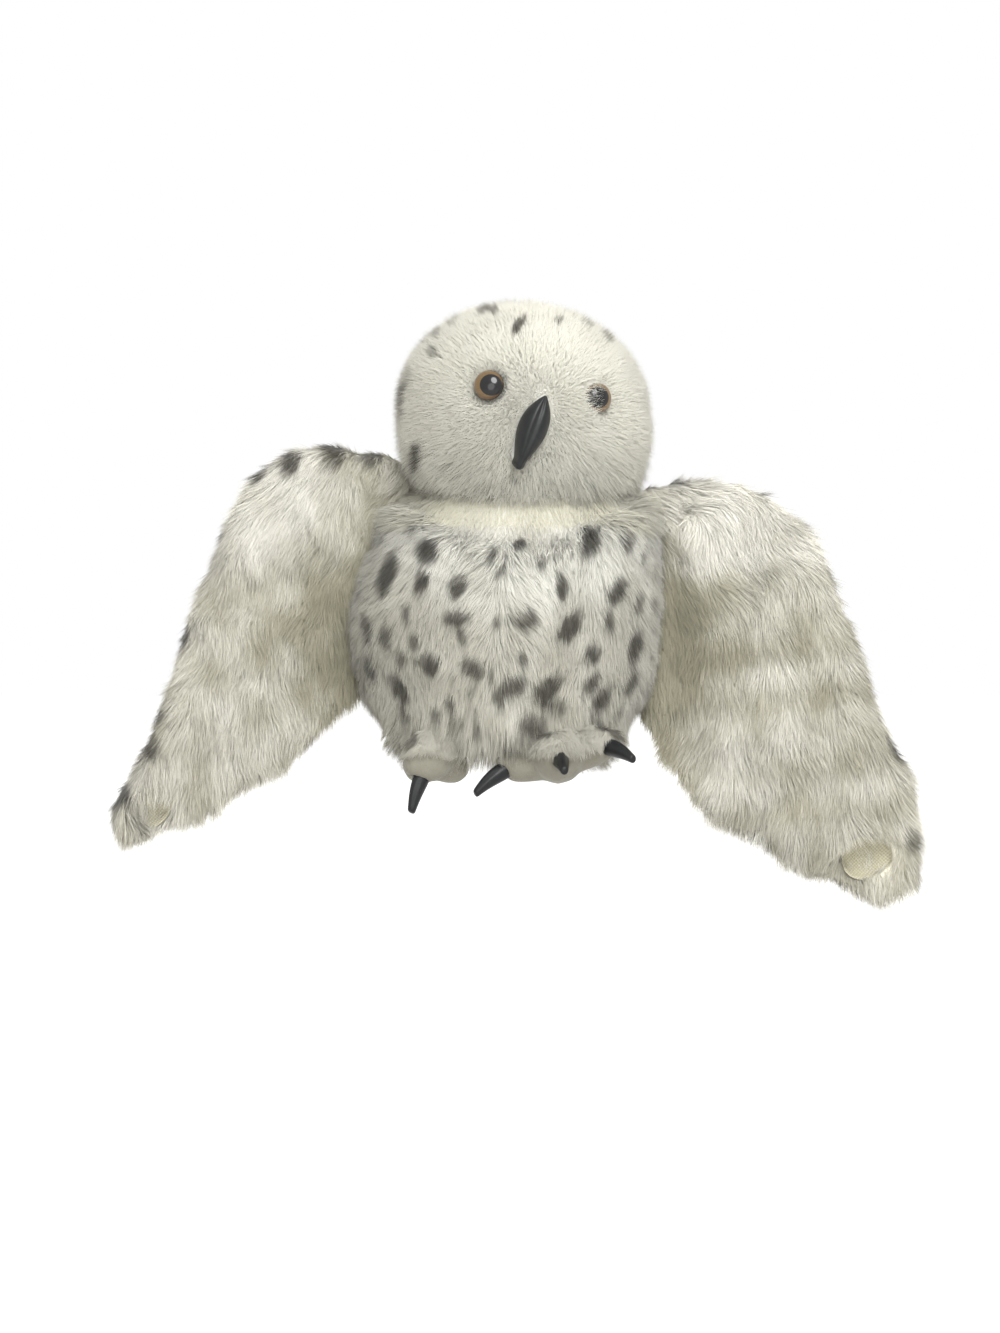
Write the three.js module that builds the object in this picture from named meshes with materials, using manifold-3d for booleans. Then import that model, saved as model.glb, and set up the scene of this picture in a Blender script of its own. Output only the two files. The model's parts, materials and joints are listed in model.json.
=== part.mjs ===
// Owl hand puppet: a plush snowy owl with spread wings, worn on one hand.
// Units are millimetres. +Z is up, the owl faces -Y and +X is to the viewer's right.
// The origin is the centre of the hand opening, in the plane of its hem.

import * as THREE from "three";
import { mergeVertices } from "three/addons/utils/BufferGeometryUtils.js";
import Module from "manifold-3d";

const wasm = await Module();
wasm.setup();

// Clearances
const seamGap = 0.3; // between two pieces sewn or pressed together
const sewnClearance = 0.5; // between the body and a wing sewn to it
const footClearance = 0.8; // between the body and a foot, whose front can lift at its seam
const cupClearance = 0.9; // between the head and the collar that it turns in

// Layers of the soft parts
const pileThickness = 6; // cover fabric with its pressed pile
const liningThickness = 1.4;

// Body
const bodyHeight = 137;
const bellyHeight = 66; // where the body is widest
const bellyHalfWidth = 79;
const bellyHalfDepth = 64;
const neckHalfWidth = 61;
const neckHalfDepth = 54;
const neckLean = 9.4; // the neck sits this far to the viewer's right
const hemHeight = 4;
const hemHalfWidth = 46;
const hemHalfDepth = 40;
const collarHeight = 17;
const collarBottom = bodyHeight - collarHeight;
const sideSeamDepth = 6; // the side seams run this far behind the middle
const paddingBottom = 14;
const bodySides = 28;
const lowerSteps = 5;
const upperSteps = 5;

// Hand cavity
const cavityHalfWidth = 50;
const cavityHalfDepth = 37;
const cavityFullFrom = 42;
const cavityFullTo = 82;
const passageRadius = 18;
const passageTopGap = 5.5; // from the collar down to the end of the finger's passage
const passageLength = 4.5;
const passageTop = collarBottom - passageTopGap;
const passageBottom = passageTop - passageLength;
const cavitySteps = 3;

// Head, a ball below its middle and a flatter dome above
const headRadius = 64;
const headDomeHeight = 53;
const headSink = 21; // how far the ball sits down in the collar
const headForward = 4;
const headCentre = new THREE.Vector3(neckLean, -headForward, bodyHeight + headRadius - headSink);
const headYaw = THREE.MathUtils.degToRad(9.5);
const headRoll = THREE.MathUtils.degToRad(6.3);
const headSides = 32; // twice as many as there are rings
const headInnerSides = 24;
const faceHalfWidth = 49;
const faceHalfHeight = 40;
const faceSides = 24;

// Finger sleeve in the head
const sleeveRadius = 15;
const sleeveTop = 6;
const sleeveDomeHeight = 6;
const sleeveSides = 20;

// Eyes
const eyeRadius = 7.6;
const eyeDomeHeight = 4.6;
const eyeSeatDepth = 1.4;
const eyeHeight = 9;
const eyeAzimuth = THREE.MathUtils.degToRad(27);
const eyeSides = 16;
const eyeDomeSteps = 4;
const eyeDomeSpan = 0.91; // the dome stops short of its pole, which is flat

// Posts and washers that hold the eyes and the beak
const postRadius = 2;
const postLength = 13;
const washerRadius = 6.5;
const washerThickness = 1.6;
const washerSetback = 1.4; // behind the curved inside of the cover
const washerSides = 12;

// Beak
const beakLength = 40;
const beakHalfWidth = 7.6;
const beakProtrusion = 11;
const beakHeight = 8; // its upper end, above the head's middle and midway between the eyes
const beakSlant = THREE.MathUtils.degToRad(15); // it leans to the viewer's left
const beakSeatDepth = 1;
const beakSides = 14;

// Wings, outlines in the front view; both start at the shoulder and end at the tip
const leftLeadingEdge = [
  [-52, 147], [-68, 156], [-86, 160], [-104, 161.5], [-118, 156], [-133, 144], [-145, 122],
  [-161, 84], [-174, 41], [-188, 3], [-204, -24], [-206, -38],
];
const leftTrailingEdge = [
  [-70, 33], [-84, 27], [-99, 10], [-116, -5], [-134, -17], [-151, -28], [-171, -36], [-186, -42],
  [-195, -46],
];
const rightLeadingEdge = [
  [73, 138], [93, 143], [111, 143.5], [129, 143], [141, 134], [156, 122], [168, 100], [179, 74],
  [188, 46], [201, 12], [211, -4], [217, -39], [216, -66],
];
const rightTrailingEdge = [
  [66, 25], [78, 13], [86, -2], [97, -19], [110, -33], [130, -44], [146, -55], [162, -62],
  [180, -71], [196, -77],
];
const wingHalfThickness = 12;
const wingRootThickness = 1.4;
const wingHingeGap = 2.5; // from the belly's widest point out to the line that a wing turns about
const wingHingeOffset = bellyHalfWidth + wingHingeGap;
const wingSwellReach = 36; // the wing grows thick over this distance from its seam line
const wingRimThickness = 2.5;
const wingRootDepth = 8; // the wing's middle plane at its root
const wingForwardReach = 14; // how far the tip comes forward of the root
const wingTipFrom = 0.75; // the wing thins over the rest of its length
const wingTipThinning = 0.35;
const wingForwardPower = 1.5;
const wingStations = 14;
const wingChordSteps = 8;

// Wing-tip pockets, an ellipse drawn to a corner at one side
const leftPocket = { x: -185, z: -25, turn: 0.6 };
const rightPocket = { x: 189, z: -53, turn: 0 };
const pocketHalfWidth = 13.5;
const pocketHalfHeight = 11;
const pocketSides = 18;
const pocketRimSetback = 1.6;
const pocketNarrowing = 0.22; // how much lower the pocket is at one side than at its middle

// Feet: a heel and three long balls for toes, with a claw in each toe
const heelRadius = 11;
const clawLength = 17;
const clawRadius = 4.6;
const clawTipRadius = 2.3;
const clawRootLength = 5;
const clawSink = 0.5; // how deep the claw starts in the toe
const clawDroop = 3;
const clawTaperPower = 1.4;
const clawSides = 8;
const clawSteps = 5;
const toeSides = 12;
const rightHeel = [27, -45, 1];
const leftHeel = [-36, -44, 4];
const spreadToeReach = 24;
const spreadToeRadius = 9;
const frontToeReach = 13;
const frontToeRadius = 12.5;
const tuckedToeReach = 11;
const tuckedToeRadius = 8.5;

// A toe's azimuth runs from straight ahead towards the viewer's right, its pitch up from level.
const rightToes = {
  inner: { reach: spreadToeReach, radius: spreadToeRadius, aim: [-75, -10], clawAim: [-66, -27] },
  middle: { reach: frontToeReach, radius: frontToeRadius, aim: [0, 3], clawAim: [6, -6] },
  outer: { reach: spreadToeReach, radius: spreadToeRadius, aim: [75, 15], clawAim: [40, -8] },
};
const leftToes = {
  inner: { reach: frontToeReach, radius: spreadToeRadius, aim: [-23, -35], clawAim: [-45, -58] },
  middle: { reach: tuckedToeReach, radius: tuckedToeRadius, aim: [130, -48], clawAim: [180, -8] },
  outer: { reach: tuckedToeReach, radius: tuckedToeRadius, aim: [-140, -48], clawAim: [-174, -8] },
};

// Colours
const finishes = {
  plush: { color: 0xf4f2ec, roughness: 0.95, metalness: 0 },
  spotted: { color: 0xdcdad5, roughness: 0.95, metalness: 0 },
  wadding: { color: 0xeeeeea, roughness: 1, metalness: 0 },
  lining: { color: 0xe8e0c8, roughness: 0.9, metalness: 0 },
  velour: { color: 0xe6e2d2, roughness: 0.9, metalness: 0 },
  blackPlastic: { color: 0x0c0c0d, roughness: 0.3, metalness: 0 },
  amber: { color: 0x8a5a22, roughness: 0.1, metalness: 0 },
  washer: { color: 0xd8d8d4, roughness: 0.5, metalness: 0 },
};

const farAway = 500;
const up = new THREE.Vector3(0, 0, 1);

// Solids

function solidOf(geometry) {
  const bare = geometry.clone();
  bare.deleteAttribute("normal");
  bare.deleteAttribute("uv");
  const merged = mergeVertices(bare, 1e-4);
  return new wasm.Manifold(
    new wasm.Mesh({
      numProp: 3,
      vertProperties: new Float32Array(merged.attributes.position.array),
      triVerts: new Uint32Array(merged.index.array),
    }),
  );
}

function geometryOf(solid) {
  const mesh = solid.getMesh();
  const geometry = new THREE.BufferGeometry();
  geometry.setAttribute("position", new THREE.BufferAttribute(mesh.vertProperties, 3));
  geometry.setIndex(new THREE.BufferAttribute(mesh.triVerts, 1));
  geometry.computeVertexNormals();
  return geometry;
}

// Joins closed loops of equally many points into one closed skin with flat ends.
function loft(loops) {
  const sides = loops[0].length;
  const middleOf = (loop) =>
    loop.reduce((sum, point) => sum.add(point), new THREE.Vector3()).divideScalar(sides);
  const points = [...loops.flat(), middleOf(loops[0]), middleOf(loops.at(-1))];
  const first = loops.length * sides;
  const lastRow = first - sides;
  const triangles = [];
  for (let side = 0; side < sides; side++) {
    const next = (side + 1) % sides;
    for (let row = 0; row < lastRow; row += sides) {
      triangles.push([row + side, row + next, row + sides + next]);
      triangles.push([row + side, row + sides + next, row + sides + side]);
    }
    triangles.push([first, next, side]);
    triangles.push([first + 1, lastRow + side, lastRow + next]);
  }
  const volume = triangles.reduce(
    (sum, [a, b, c]) => sum + points[a].dot(points[b].clone().cross(points[c])),
    0,
  );
  if (volume < 0) triangles.forEach((triangle) => triangle.reverse());
  const geometry = new THREE.BufferGeometry().setFromPoints(points);
  geometry.setIndex(triangles.flat());
  return solidOf(geometry);
}

function ellipseLoop(halfWidth, halfDepth, centreX, centreY, z, sides) {
  return Array.from({ length: sides }, (_, side) => {
    const angle = (2 * Math.PI * side) / sides;
    return new THREE.Vector3(
      centreX + halfWidth * Math.cos(angle),
      centreY + halfDepth * Math.sin(angle),
      z,
    );
  });
}

// A turned piece about the Z axis, from pairs of radius and height.
function turned(profile, sides) {
  return loft(profile.map(([radius, z]) => ellipseLoop(radius, radius, 0, 0, z, sides)));
}

function box(low, high) {
  const size = high.map((value, axis) => value - low[axis]);
  const middle = high.map((value, axis) => (value + low[axis]) / 2);
  return solidOf(new THREE.BoxGeometry(...size).translate(...middle));
}

function slab(bottom, top) {
  return box([-farAway, -farAway, bottom], [farAway, farAway, top]);
}

// Moves a solid made along +Z so that it points along a direction from a place.
function aimed(solid, place, direction) {
  const turn = new THREE.Quaternion().setFromUnitVectors(up, direction.clone().normalize());
  const matrix = new THREE.Matrix4().compose(place, turn, new THREE.Vector3(1, 1, 1));
  return solid.transform(matrix.elements);
}

function subMesh(name, solid, finish) {
  const mesh = new THREE.Mesh(geometryOf(solid), new THREE.MeshStandardMaterial(finish));
  mesh.name = name;
  return mesh;
}

const smooth = (from, to, value) => THREE.MathUtils.smoothstep(value, from, to);

// Body

function bodyLoop(z, inset) {
  const isLower = z < bellyHeight;
  const endHeight = isLower ? hemHeight : bodyHeight;
  const reach = Math.min(1, (z - bellyHeight) / (endHeight - bellyHeight));
  const swell = isLower ? Math.sqrt(1 - reach ** 2) : 1 - reach ** 2;
  const endWidth = isLower ? hemHalfWidth : neckHalfWidth;
  const endDepth = isLower ? hemHalfDepth : neckHalfDepth;
  return ellipseLoop(
    THREE.MathUtils.lerp(endWidth, bellyHalfWidth, swell) - inset,
    THREE.MathUtils.lerp(endDepth, bellyHalfDepth, swell) - inset,
    neckLean * smooth(bellyHeight, bodyHeight, z),
    0,
    z,
    bodySides,
  );
}

// The body's outer shape, shrunk by an inset or grown by a negative one.
function bodyShape(inset) {
  const heights = [];
  for (let step = 0; step < lowerSteps; step++) {
    const angle = (Math.PI / 2) * (step / lowerSteps);
    heights.push(bellyHeight - (bellyHeight - hemHeight) * Math.cos(angle));
  }
  for (let step = 0; step <= upperSteps; step++) {
    heights.push(THREE.MathUtils.lerp(bellyHeight, bodyHeight, step / upperSteps));
  }
  return loft(heights.map((z) => bodyLoop(z, inset)));
}

function cavityLoop(z, grow) {
  const mouth = smooth(hemHeight, cavityFullFrom, z);
  const narrowing = smooth(cavityFullTo, passageBottom, z);
  const inside = pileThickness + liningThickness + seamGap;
  const mouthHalfWidth = THREE.MathUtils.lerp(hemHalfWidth - inside, cavityHalfWidth, mouth);
  const mouthHalfDepth = THREE.MathUtils.lerp(hemHalfDepth - inside, cavityHalfDepth, mouth);
  return ellipseLoop(
    THREE.MathUtils.lerp(mouthHalfWidth, passageRadius, narrowing) + grow,
    THREE.MathUtils.lerp(mouthHalfDepth, passageRadius, narrowing) + grow,
    (neckLean / 2) * narrowing,
    headCentre.y * narrowing,
    z,
    bodySides,
  );
}

// The space for the hand, open past both ends.
function cavityShape(grow) {
  const heights = [-farAway];
  const stretches = [
    [hemHeight, cavityFullFrom],
    [cavityFullTo, passageBottom],
  ];
  for (const [from, to] of stretches) {
    for (let step = 0; step <= cavitySteps; step++) {
      heights.push(THREE.MathUtils.lerp(from, to, step / cavitySteps));
    }
  }
  heights.push(farAway);
  return loft(heights.map((z) => cavityLoop(z, grow)));
}

// The bound edge round the hand opening, solid, grown by a clearance.
function hemShape(grow) {
  return loft(
    [-grow, hemHeight + grow].map((z) =>
      ellipseLoop(hemHalfWidth + grow, hemHalfDepth + grow, 0, 0, z, bodySides),
    ),
  );
}

function headCup() {
  const radius = headRadius + cupClearance;
  const cup = new THREE.SphereGeometry(radius, headSides, headSides / 2);
  return solidOf(cup.rotateX(Math.PI / 2).translate(...headCentre));
}

function bodyParts() {
  const parts = new THREE.Group();
  const cup = headCup();
  const shell = bodyShape(0)
    .subtract(bodyShape(pileThickness))
    .intersect(slab(hemHeight + seamGap, collarBottom))
    .subtract(cup);
  const half = seamGap / 2;
  const sides = { left: [-farAway, -half], right: [half, farAway] };
  const faces = {
    belly: [-farAway, sideSeamDepth - half],
    back: [sideSeamDepth + half, farAway],
  };
  for (const [face, [front, rear]] of Object.entries(faces)) {
    for (const [side, [low, high]] of Object.entries(sides)) {
      const quarter = box([low, front, -farAway], [high, rear, farAway]);
      parts.add(subMesh(`${face}_${side}`, shell.intersect(quarter), finishes.spotted));
    }
  }

  const wadding = bodyShape(pileThickness + seamGap)
    .intersect(slab(paddingBottom, collarBottom))
    .subtract(cavityShape(liningThickness + seamGap))
    .subtract(cup);
  for (const [face, [front, rear]] of Object.entries(faces)) {
    const part = wadding.intersect(box([-farAway, front, -farAway], [farAway, rear, farAway]));
    parts.add(subMesh(`body_padding_${face}`, part, finishes.wadding));
  }

  const lining = cavityShape(liningThickness)
    .subtract(cavityShape(0))
    .intersect(slab(hemHeight + seamGap, passageTop));
  parts.add(subMesh("hand_lining", lining, finishes.lining));

  const hem = hemShape(0).subtract(cavityShape(0));
  parts.add(subMesh("hem_binding", hem, finishes.plush));

  const collar = bodyShape(0)
    .intersect(slab(collarBottom + seamGap, bodyHeight))
    .subtract(cup);
  parts.add(subMesh("neck_collar", collar, finishes.plush));
  return parts;
}

// Head, built about its own centre with the face towards -Y

function headBall(inset) {
  const sides = inset ? headInnerSides : headSides;
  const ball = new THREE.SphereGeometry(headRadius - inset, sides, sides / 2);
  ball.rotateX(Math.PI / 2);
  const position = ball.attributes.position;
  const flattening = (headDomeHeight - inset) / (headRadius - inset);
  for (let index = 0; index < position.count; index++) {
    const z = position.getZ(index);
    if (z > 0) position.setZ(index, z * flattening);
  }
  return solidOf(ball);
}

// A place on the head's front at an azimuth and a height, and the way it faces.
function facePlace(azimuth, height, depth) {
  const dome = height > 0 ? headDomeHeight : headRadius;
  const ringRadius = headRadius * Math.sqrt(1 - (height / dome) ** 2);
  const place = new THREE.Vector3(
    ringRadius * Math.sin(azimuth),
    -ringRadius * Math.cos(azimuth),
    height,
  );
  const direction = new THREE.Vector3(
    place.x / headRadius ** 2,
    place.y / headRadius ** 2,
    place.z / dome ** 2,
  ).normalize();
  return { place: place.addScaledVector(direction, -depth), direction };
}

function post(grow) {
  return turned(
    [
      [postRadius + grow, -postLength - grow],
      [postRadius + grow, 1],
    ],
    washerSides,
  );
}

// The washer pushed on a post behind the cover, seen from the seat of the eye or beak.
function washerBlank(seatDepth) {
  const front = seatDepth - pileThickness - washerSetback;
  return turned(
    [
      [washerRadius, front - washerThickness],
      [washerRadius, front],
    ],
    washerSides,
  ).subtract(post(seamGap));
}

// What a washer and its post take out of the stuffing, open towards the cover.
function washerRoom(seatDepth) {
  const rear = seatDepth - pileThickness - washerSetback - washerThickness - seamGap;
  const room = turned(
    [
      [washerRadius + seamGap, rear],
      [washerRadius + seamGap, 0],
    ],
    washerSides,
  );
  return room.add(post(seamGap));
}

function eyeBlank() {
  const dome = [];
  for (let step = 0; step <= eyeDomeSteps; step++) {
    const angle = (Math.PI / 2) * eyeDomeSpan * (step / eyeDomeSteps);
    dome.push([eyeRadius * Math.cos(angle), eyeSeatDepth + eyeDomeHeight * Math.sin(angle)]);
  }
  return turned([[eyeRadius, 0], ...dome], eyeSides).add(post(0));
}

// The beak hangs along -Z from its upper end, with a flat back at y = 0.
function beakBlank() {
  const stations = [
    { along: 0.02, width: 0.12, depth: 0.1 },
    { along: 0.12, width: 0.55, depth: 0.35 },
    { along: 0.3, width: 0.95, depth: 0.7 },
    { along: 0.45, width: 1, depth: 0.9 },
    { along: 0.65, width: 0.82, depth: 1 },
    { along: 0.85, width: 0.52, depth: 1 },
    { along: 0.96, width: 0.38, depth: 0.92 },
    { along: 1, width: 0.2, depth: 0.75 },
  ];
  const loops = stations.map(({ along, width, depth }) =>
    ellipseLoop(beakHalfWidth * width, beakProtrusion * depth, 0, 0, -beakLength * along, beakSides),
  );
  return loft(loops).intersect(box([-farAway, -farAway, -farAway], [farAway, 0, farAway]));
}

// The beak's place: its flat back lies in the face, tilted with it and slanted to one side.
function beakMatrix() {
  const azimuth = -((beakLength / 2) * Math.sin(beakSlant)) / headRadius;
  const middle = facePlace(azimuth, beakHeight - beakLength / 2, beakSeatDepth);
  const tilt = Math.asin(middle.direction.z);
  return new THREE.Matrix4()
    .makeTranslation(middle.place)
    .multiply(new THREE.Matrix4().makeRotationZ(azimuth))
    .multiply(new THREE.Matrix4().makeRotationX(-tilt))
    .multiply(new THREE.Matrix4().makeRotationY(beakSlant))
    .multiply(new THREE.Matrix4().makeTranslation(0, 0, beakLength / 2));
}

function headParts() {
  const parts = new THREE.Group();
  parts.position.copy(headCentre);
  parts.rotation.set(0, headRoll, headYaw);

  const holeRadius = sleeveRadius + liningThickness + seamGap;
  const fingerHole = turned(
    [
      [holeRadius, -farAway],
      [holeRadius, sleeveTop + liningThickness + seamGap],
      [holeRadius / 2, sleeveTop + sleeveDomeHeight + liningThickness + seamGap],
    ],
    sleeveSides,
  );
  let cover = headBall(0).subtract(headBall(pileThickness)).subtract(fingerHole);
  let stuffing = headBall(pileThickness + seamGap).subtract(fingerHole);

  for (const [side, sign] of Object.entries({ left: -1, right: 1 })) {
    const { place, direction } = facePlace(sign * eyeAzimuth, eyeHeight, eyeSeatDepth);
    const seat = turned(
      [
        [eyeRadius + seamGap, -seamGap],
        [eyeRadius + seamGap, eyeDomeHeight],
      ],
      eyeSides,
    );
    cover = cover.subtract(aimed(seat.add(post(seamGap)), place, direction));
    stuffing = stuffing.subtract(aimed(washerRoom(eyeSeatDepth), place, direction));
    const washer = washerBlank(eyeSeatDepth);
    parts.add(subMesh(`eye_${side}`, aimed(eyeBlank(), place, direction), finishes.amber));
    parts.add(subMesh(`eye_washer_${side}`, aimed(washer, place, direction), finishes.washer));
  }

  // The beak's post and washer point along its own back, so they are turned to face -Y.
  const beakPlace = beakMatrix();
  const toBack = (solid) => {
    const facing = new THREE.Matrix4().makeRotationX(Math.PI / 2);
    const middle = new THREE.Matrix4().makeTranslation(0, 0, -beakLength / 2);
    return solid.transform(beakPlace.clone().multiply(middle).multiply(facing).elements);
  };
  const beakSeat = box(
    [-beakHalfWidth - seamGap, -beakProtrusion, -beakLength - seamGap],
    [beakHalfWidth + seamGap, seamGap, seamGap],
  );
  cover = cover
    .subtract(beakSeat.transform(beakPlace.elements))
    .subtract(toBack(post(seamGap)));
  stuffing = stuffing.subtract(toBack(washerRoom(beakSeatDepth)));
  const beak = beakBlank().transform(beakPlace.elements).add(toBack(post(0)));
  parts.add(subMesh("beak", beak, finishes.blackPlastic));
  parts.add(subMesh("beak_washer", toBack(washerBlank(beakSeatDepth)), finishes.washer));

  const faceOutline = (grow) =>
    loft(
      [0, farAway].map((z) =>
        ellipseLoop(faceHalfWidth + grow, faceHalfHeight + grow, 0, 0, z, faceSides),
      ),
    ).transform(new THREE.Matrix4().makeRotationX(Math.PI / 2).elements);
  parts.add(subMesh("head_face", cover.intersect(faceOutline(0)), finishes.plush));
  const crown = cover.subtract(faceOutline(seamGap));
  const half = seamGap / 2;
  for (const [side, low, high] of [["left", -farAway, -half], ["right", half, farAway]]) {
    const part = crown.intersect(box([low, -farAway, -farAway], [high, farAway, farAway]));
    parts.add(subMesh(`head_${side}`, part, finishes.spotted));
  }
  parts.add(subMesh("head_stuffing", stuffing, finishes.wadding));
  return parts;
}

function sleevePart() {
  const sleeveBottom = -Math.sqrt(headRadius ** 2 - (sleeveRadius + liningThickness) ** 2);
  const skin = (grow) =>
    turned(
      [
        [sleeveRadius + grow, grow ? sleeveBottom : -farAway],
        [sleeveRadius + grow, sleeveTop + grow],
        [(sleeveRadius + grow) / 2, sleeveTop + sleeveDomeHeight + grow],
      ],
      sleeveSides,
    );
  const sleeve = skin(liningThickness).subtract(skin(0));
  const mesh = subMesh("head_finger_sleeve", sleeve, finishes.lining);
  mesh.position.copy(headCentre);
  mesh.rotation.set(0, headRoll, headYaw);
  return mesh;
}

// Wings

function wingMiddle(station) {
  return wingRootDepth - wingForwardReach * station ** wingForwardPower;
}

// Half the wing's thickness: thin at the seam, full in the middle, less at the tip.
function wingSwell(x, station) {
  const outward = smooth(0, wingSwellReach, Math.abs(x) - wingHingeOffset);
  const tip = 1 - wingTipThinning * smooth(wingTipFrom, 1, station);
  return THREE.MathUtils.lerp(wingRootThickness, wingHalfThickness * tip, outward);
}

function edgeCurve(points) {
  const places = points.map(([x, z]) => new THREE.Vector3(x, 0, z));
  return new THREE.CatmullRomCurve3(places);
}

// One padded half of a wing: face is -1 for the inner side, towards the viewer, and 1 for the outer.
function wingPad(leading, trailing, face) {
  const lead = edgeCurve(leading);
  const trail = edgeCurve(trailing);
  const loops = [];
  for (let index = 0; index <= wingStations; index++) {
    const station = index / wingStations;
    const from = lead.getPoint(station);
    const to = trail.getPoint(station);
    const middle = wingMiddle(station) + (face * seamGap) / 2;
    const loop = [from.clone().setY(middle)];
    for (let step = 0; step <= wingChordSteps; step++) {
      const across = step / wingChordSteps;
      const bulge = Math.sqrt(1 - (2 * across - 1) ** 2);
      const point = from.clone().lerp(to, across);
      const swell = wingSwell(point.x, station);
      const rim = Math.min(wingRimThickness, swell);
      loop.push(point.setY(middle + face * (rim + (swell - rim) * bulge)));
    }
    loop.push(to.clone().setY(middle));
    loops.push(loop);
  }
  return loft(loops).subtract(bodyShape(-sewnClearance));
}

// The pocket's outline, shrunk by an inset, between two depths.
function pocketBlank(pocket, inset, front, rear) {
  const loops = [front, rear].map((y) =>
    ellipseLoop(1, 1, 0, 0, y, pocketSides).map((point) => {
      const narrowing = 1 - pocketNarrowing * point.x;
      const across = (pocketHalfWidth - inset) * point.x;
      const rise = (pocketHalfHeight - inset) * point.y * narrowing;
      return new THREE.Vector3(
        pocket.x + across * Math.cos(pocket.turn) - rise * Math.sin(pocket.turn),
        y,
        pocket.z + across * Math.sin(pocket.turn) + rise * Math.cos(pocket.turn),
      );
    }),
  );
  return loft(loops);
}

// Where a pocket's floor ends: just in front of the wing's outer half behind it.
function pocketFloorDepth(pocket, leading, trailing) {
  const outer = wingPad(leading, trailing, 1);
  const under = outer.intersect(pocketBlank(pocket, 0, -farAway, farAway));
  return under.boundingBox().min[1] - seamGap;
}

function wingParts(side, leading, trailing, pocket) {
  const parts = new THREE.Group();
  const floor = wingMiddle(1) - seamGap / 2;
  const hole = pocketBlank(pocket, 0, -farAway, farAway);
  const inner = wingPad(leading, trailing, -1);
  parts.add(subMesh(`wing_inner_${side}`, inner.subtract(hole), finishes.plush));
  parts.add(subMesh(`wing_outer_${side}`, wingPad(leading, trailing, 1), finishes.spotted));

  const filled = inner.intersect(pocketBlank(pocket, seamGap, -farAway, farAway));
  const rim = filled.boundingBox().min[1] + pocketRimSetback;
  const rear = pocketFloorDepth(pocket, leading, trailing) - liningThickness;
  const lining = filled
    .intersect(box([-farAway, rim, -farAway], [farAway, floor + farAway, farAway]))
    .subtract(pocketBlank(pocket, seamGap + liningThickness, -farAway, rear));
  parts.add(subMesh(`pocket_lining_${side}`, lining, finishes.lining));
  return parts;
}

// Feet

// The direction of an azimuth and a pitch in degrees.
function directionOf([azimuth, pitch]) {
  const turn = THREE.MathUtils.degToRad(azimuth);
  const rise = THREE.MathUtils.degToRad(pitch);
  const level = Math.cos(rise);
  return new THREE.Vector3(level * Math.sin(turn), -level * Math.cos(turn), Math.sin(rise));
}

function ballBetween(from, to, radius) {
  const reach = to.clone().sub(from);
  const ball = new THREE.SphereGeometry(radius, toeSides, toeSides / 2);
  ball.scale(1, 1 + reach.length() / (2 * radius), 1).rotateX(Math.PI / 2);
  return aimed(solidOf(ball), from.clone().lerp(to, 0.5), reach);
}

// A claw along +Z that droops to -Y and tapers, with its root behind z = 0.
function clawBlank(grow) {
  const loops = [];
  loops.push(ellipseLoop(clawRadius + grow, clawRadius + grow, 0, 0, -clawRootLength, clawSides));
  for (let step = 0; step <= clawSteps; step++) {
    const along = step / clawSteps;
    const radius = THREE.MathUtils.lerp(clawRadius, clawTipRadius, along ** clawTaperPower) + grow;
    loops.push(
      ellipseLoop(radius, radius, 0, -clawDroop * along ** 2, clawLength * along, clawSides),
    );
  }
  return loft(loops);
}

// The claw's pose at a toe's end, with its droop turned to hang down.
function clawMatrix(toe, toeEnd) {
  const ahead = directionOf(toe.clawAim);
  const sideways = ahead.clone().cross(up).normalize();
  const above = sideways.clone().cross(ahead);
  const start = toeEnd.clone().addScaledVector(ahead, toe.radius - clawSink);
  return new THREE.Matrix4().makeBasis(above.clone().cross(ahead), above, ahead).setPosition(start);
}

function footParts(side, heelPlace, toes) {
  const parts = new THREE.Group();
  const heel = new THREE.Vector3(...heelPlace);
  const endOf = (toe) => heel.clone().addScaledVector(directionOf(toe.aim), toe.reach);
  const heelBall = new THREE.SphereGeometry(heelRadius, toeSides, toeSides / 2);
  let pad = solidOf(heelBall.translate(...heelPlace));
  for (const toe of Object.values(toes)) pad = pad.add(ballBetween(heel, endOf(toe), toe.radius));
  pad = pad.subtract(bodyShape(-footClearance)).subtract(hemShape(footClearance));
  for (const [name, toe] of Object.entries(toes)) {
    const pose = clawMatrix(toe, endOf(toe)).elements;
    pad = pad.subtract(clawBlank(seamGap).transform(pose));
    const claw = clawBlank(0).transform(pose);
    parts.add(subMesh(`claw_${side}_${name}`, claw, finishes.blackPlastic));
  }
  parts.add(subMesh(`foot_${side}`, pad, finishes.velour));
  return parts;
}

const owl = new THREE.Group();
owl.add(bodyParts());
owl.add(headParts());
owl.add(sleevePart());
owl.add(wingParts("left", leftLeadingEdge, leftTrailingEdge, leftPocket));
owl.add(wingParts("right", rightLeadingEdge, rightTrailingEdge, rightPocket));
owl.add(footParts("left", leftHeel, leftToes));
owl.add(footParts("right", rightHeel, rightToes));

export default owl;
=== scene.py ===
# %% [markdown]
# # A plush snowy owl hand puppet
# The puppet is a stuffed head that turns on the wearer's finger, a padded body sleeve, two padded
# wings and two short-pile feet with plastic claws. Nearly all that shows is fur, so this lesson is
# mostly about fur that is real geometry: it casts its own shadows, keeps its look from every side
# and can be exported as a mesh.
#
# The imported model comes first. Its nodes stay where they are, and every new piece is built around
# them in the same frame: metres, Z up, and the owl faces -Y.

# %% Load the frame
import math
from contextlib import contextmanager

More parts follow.
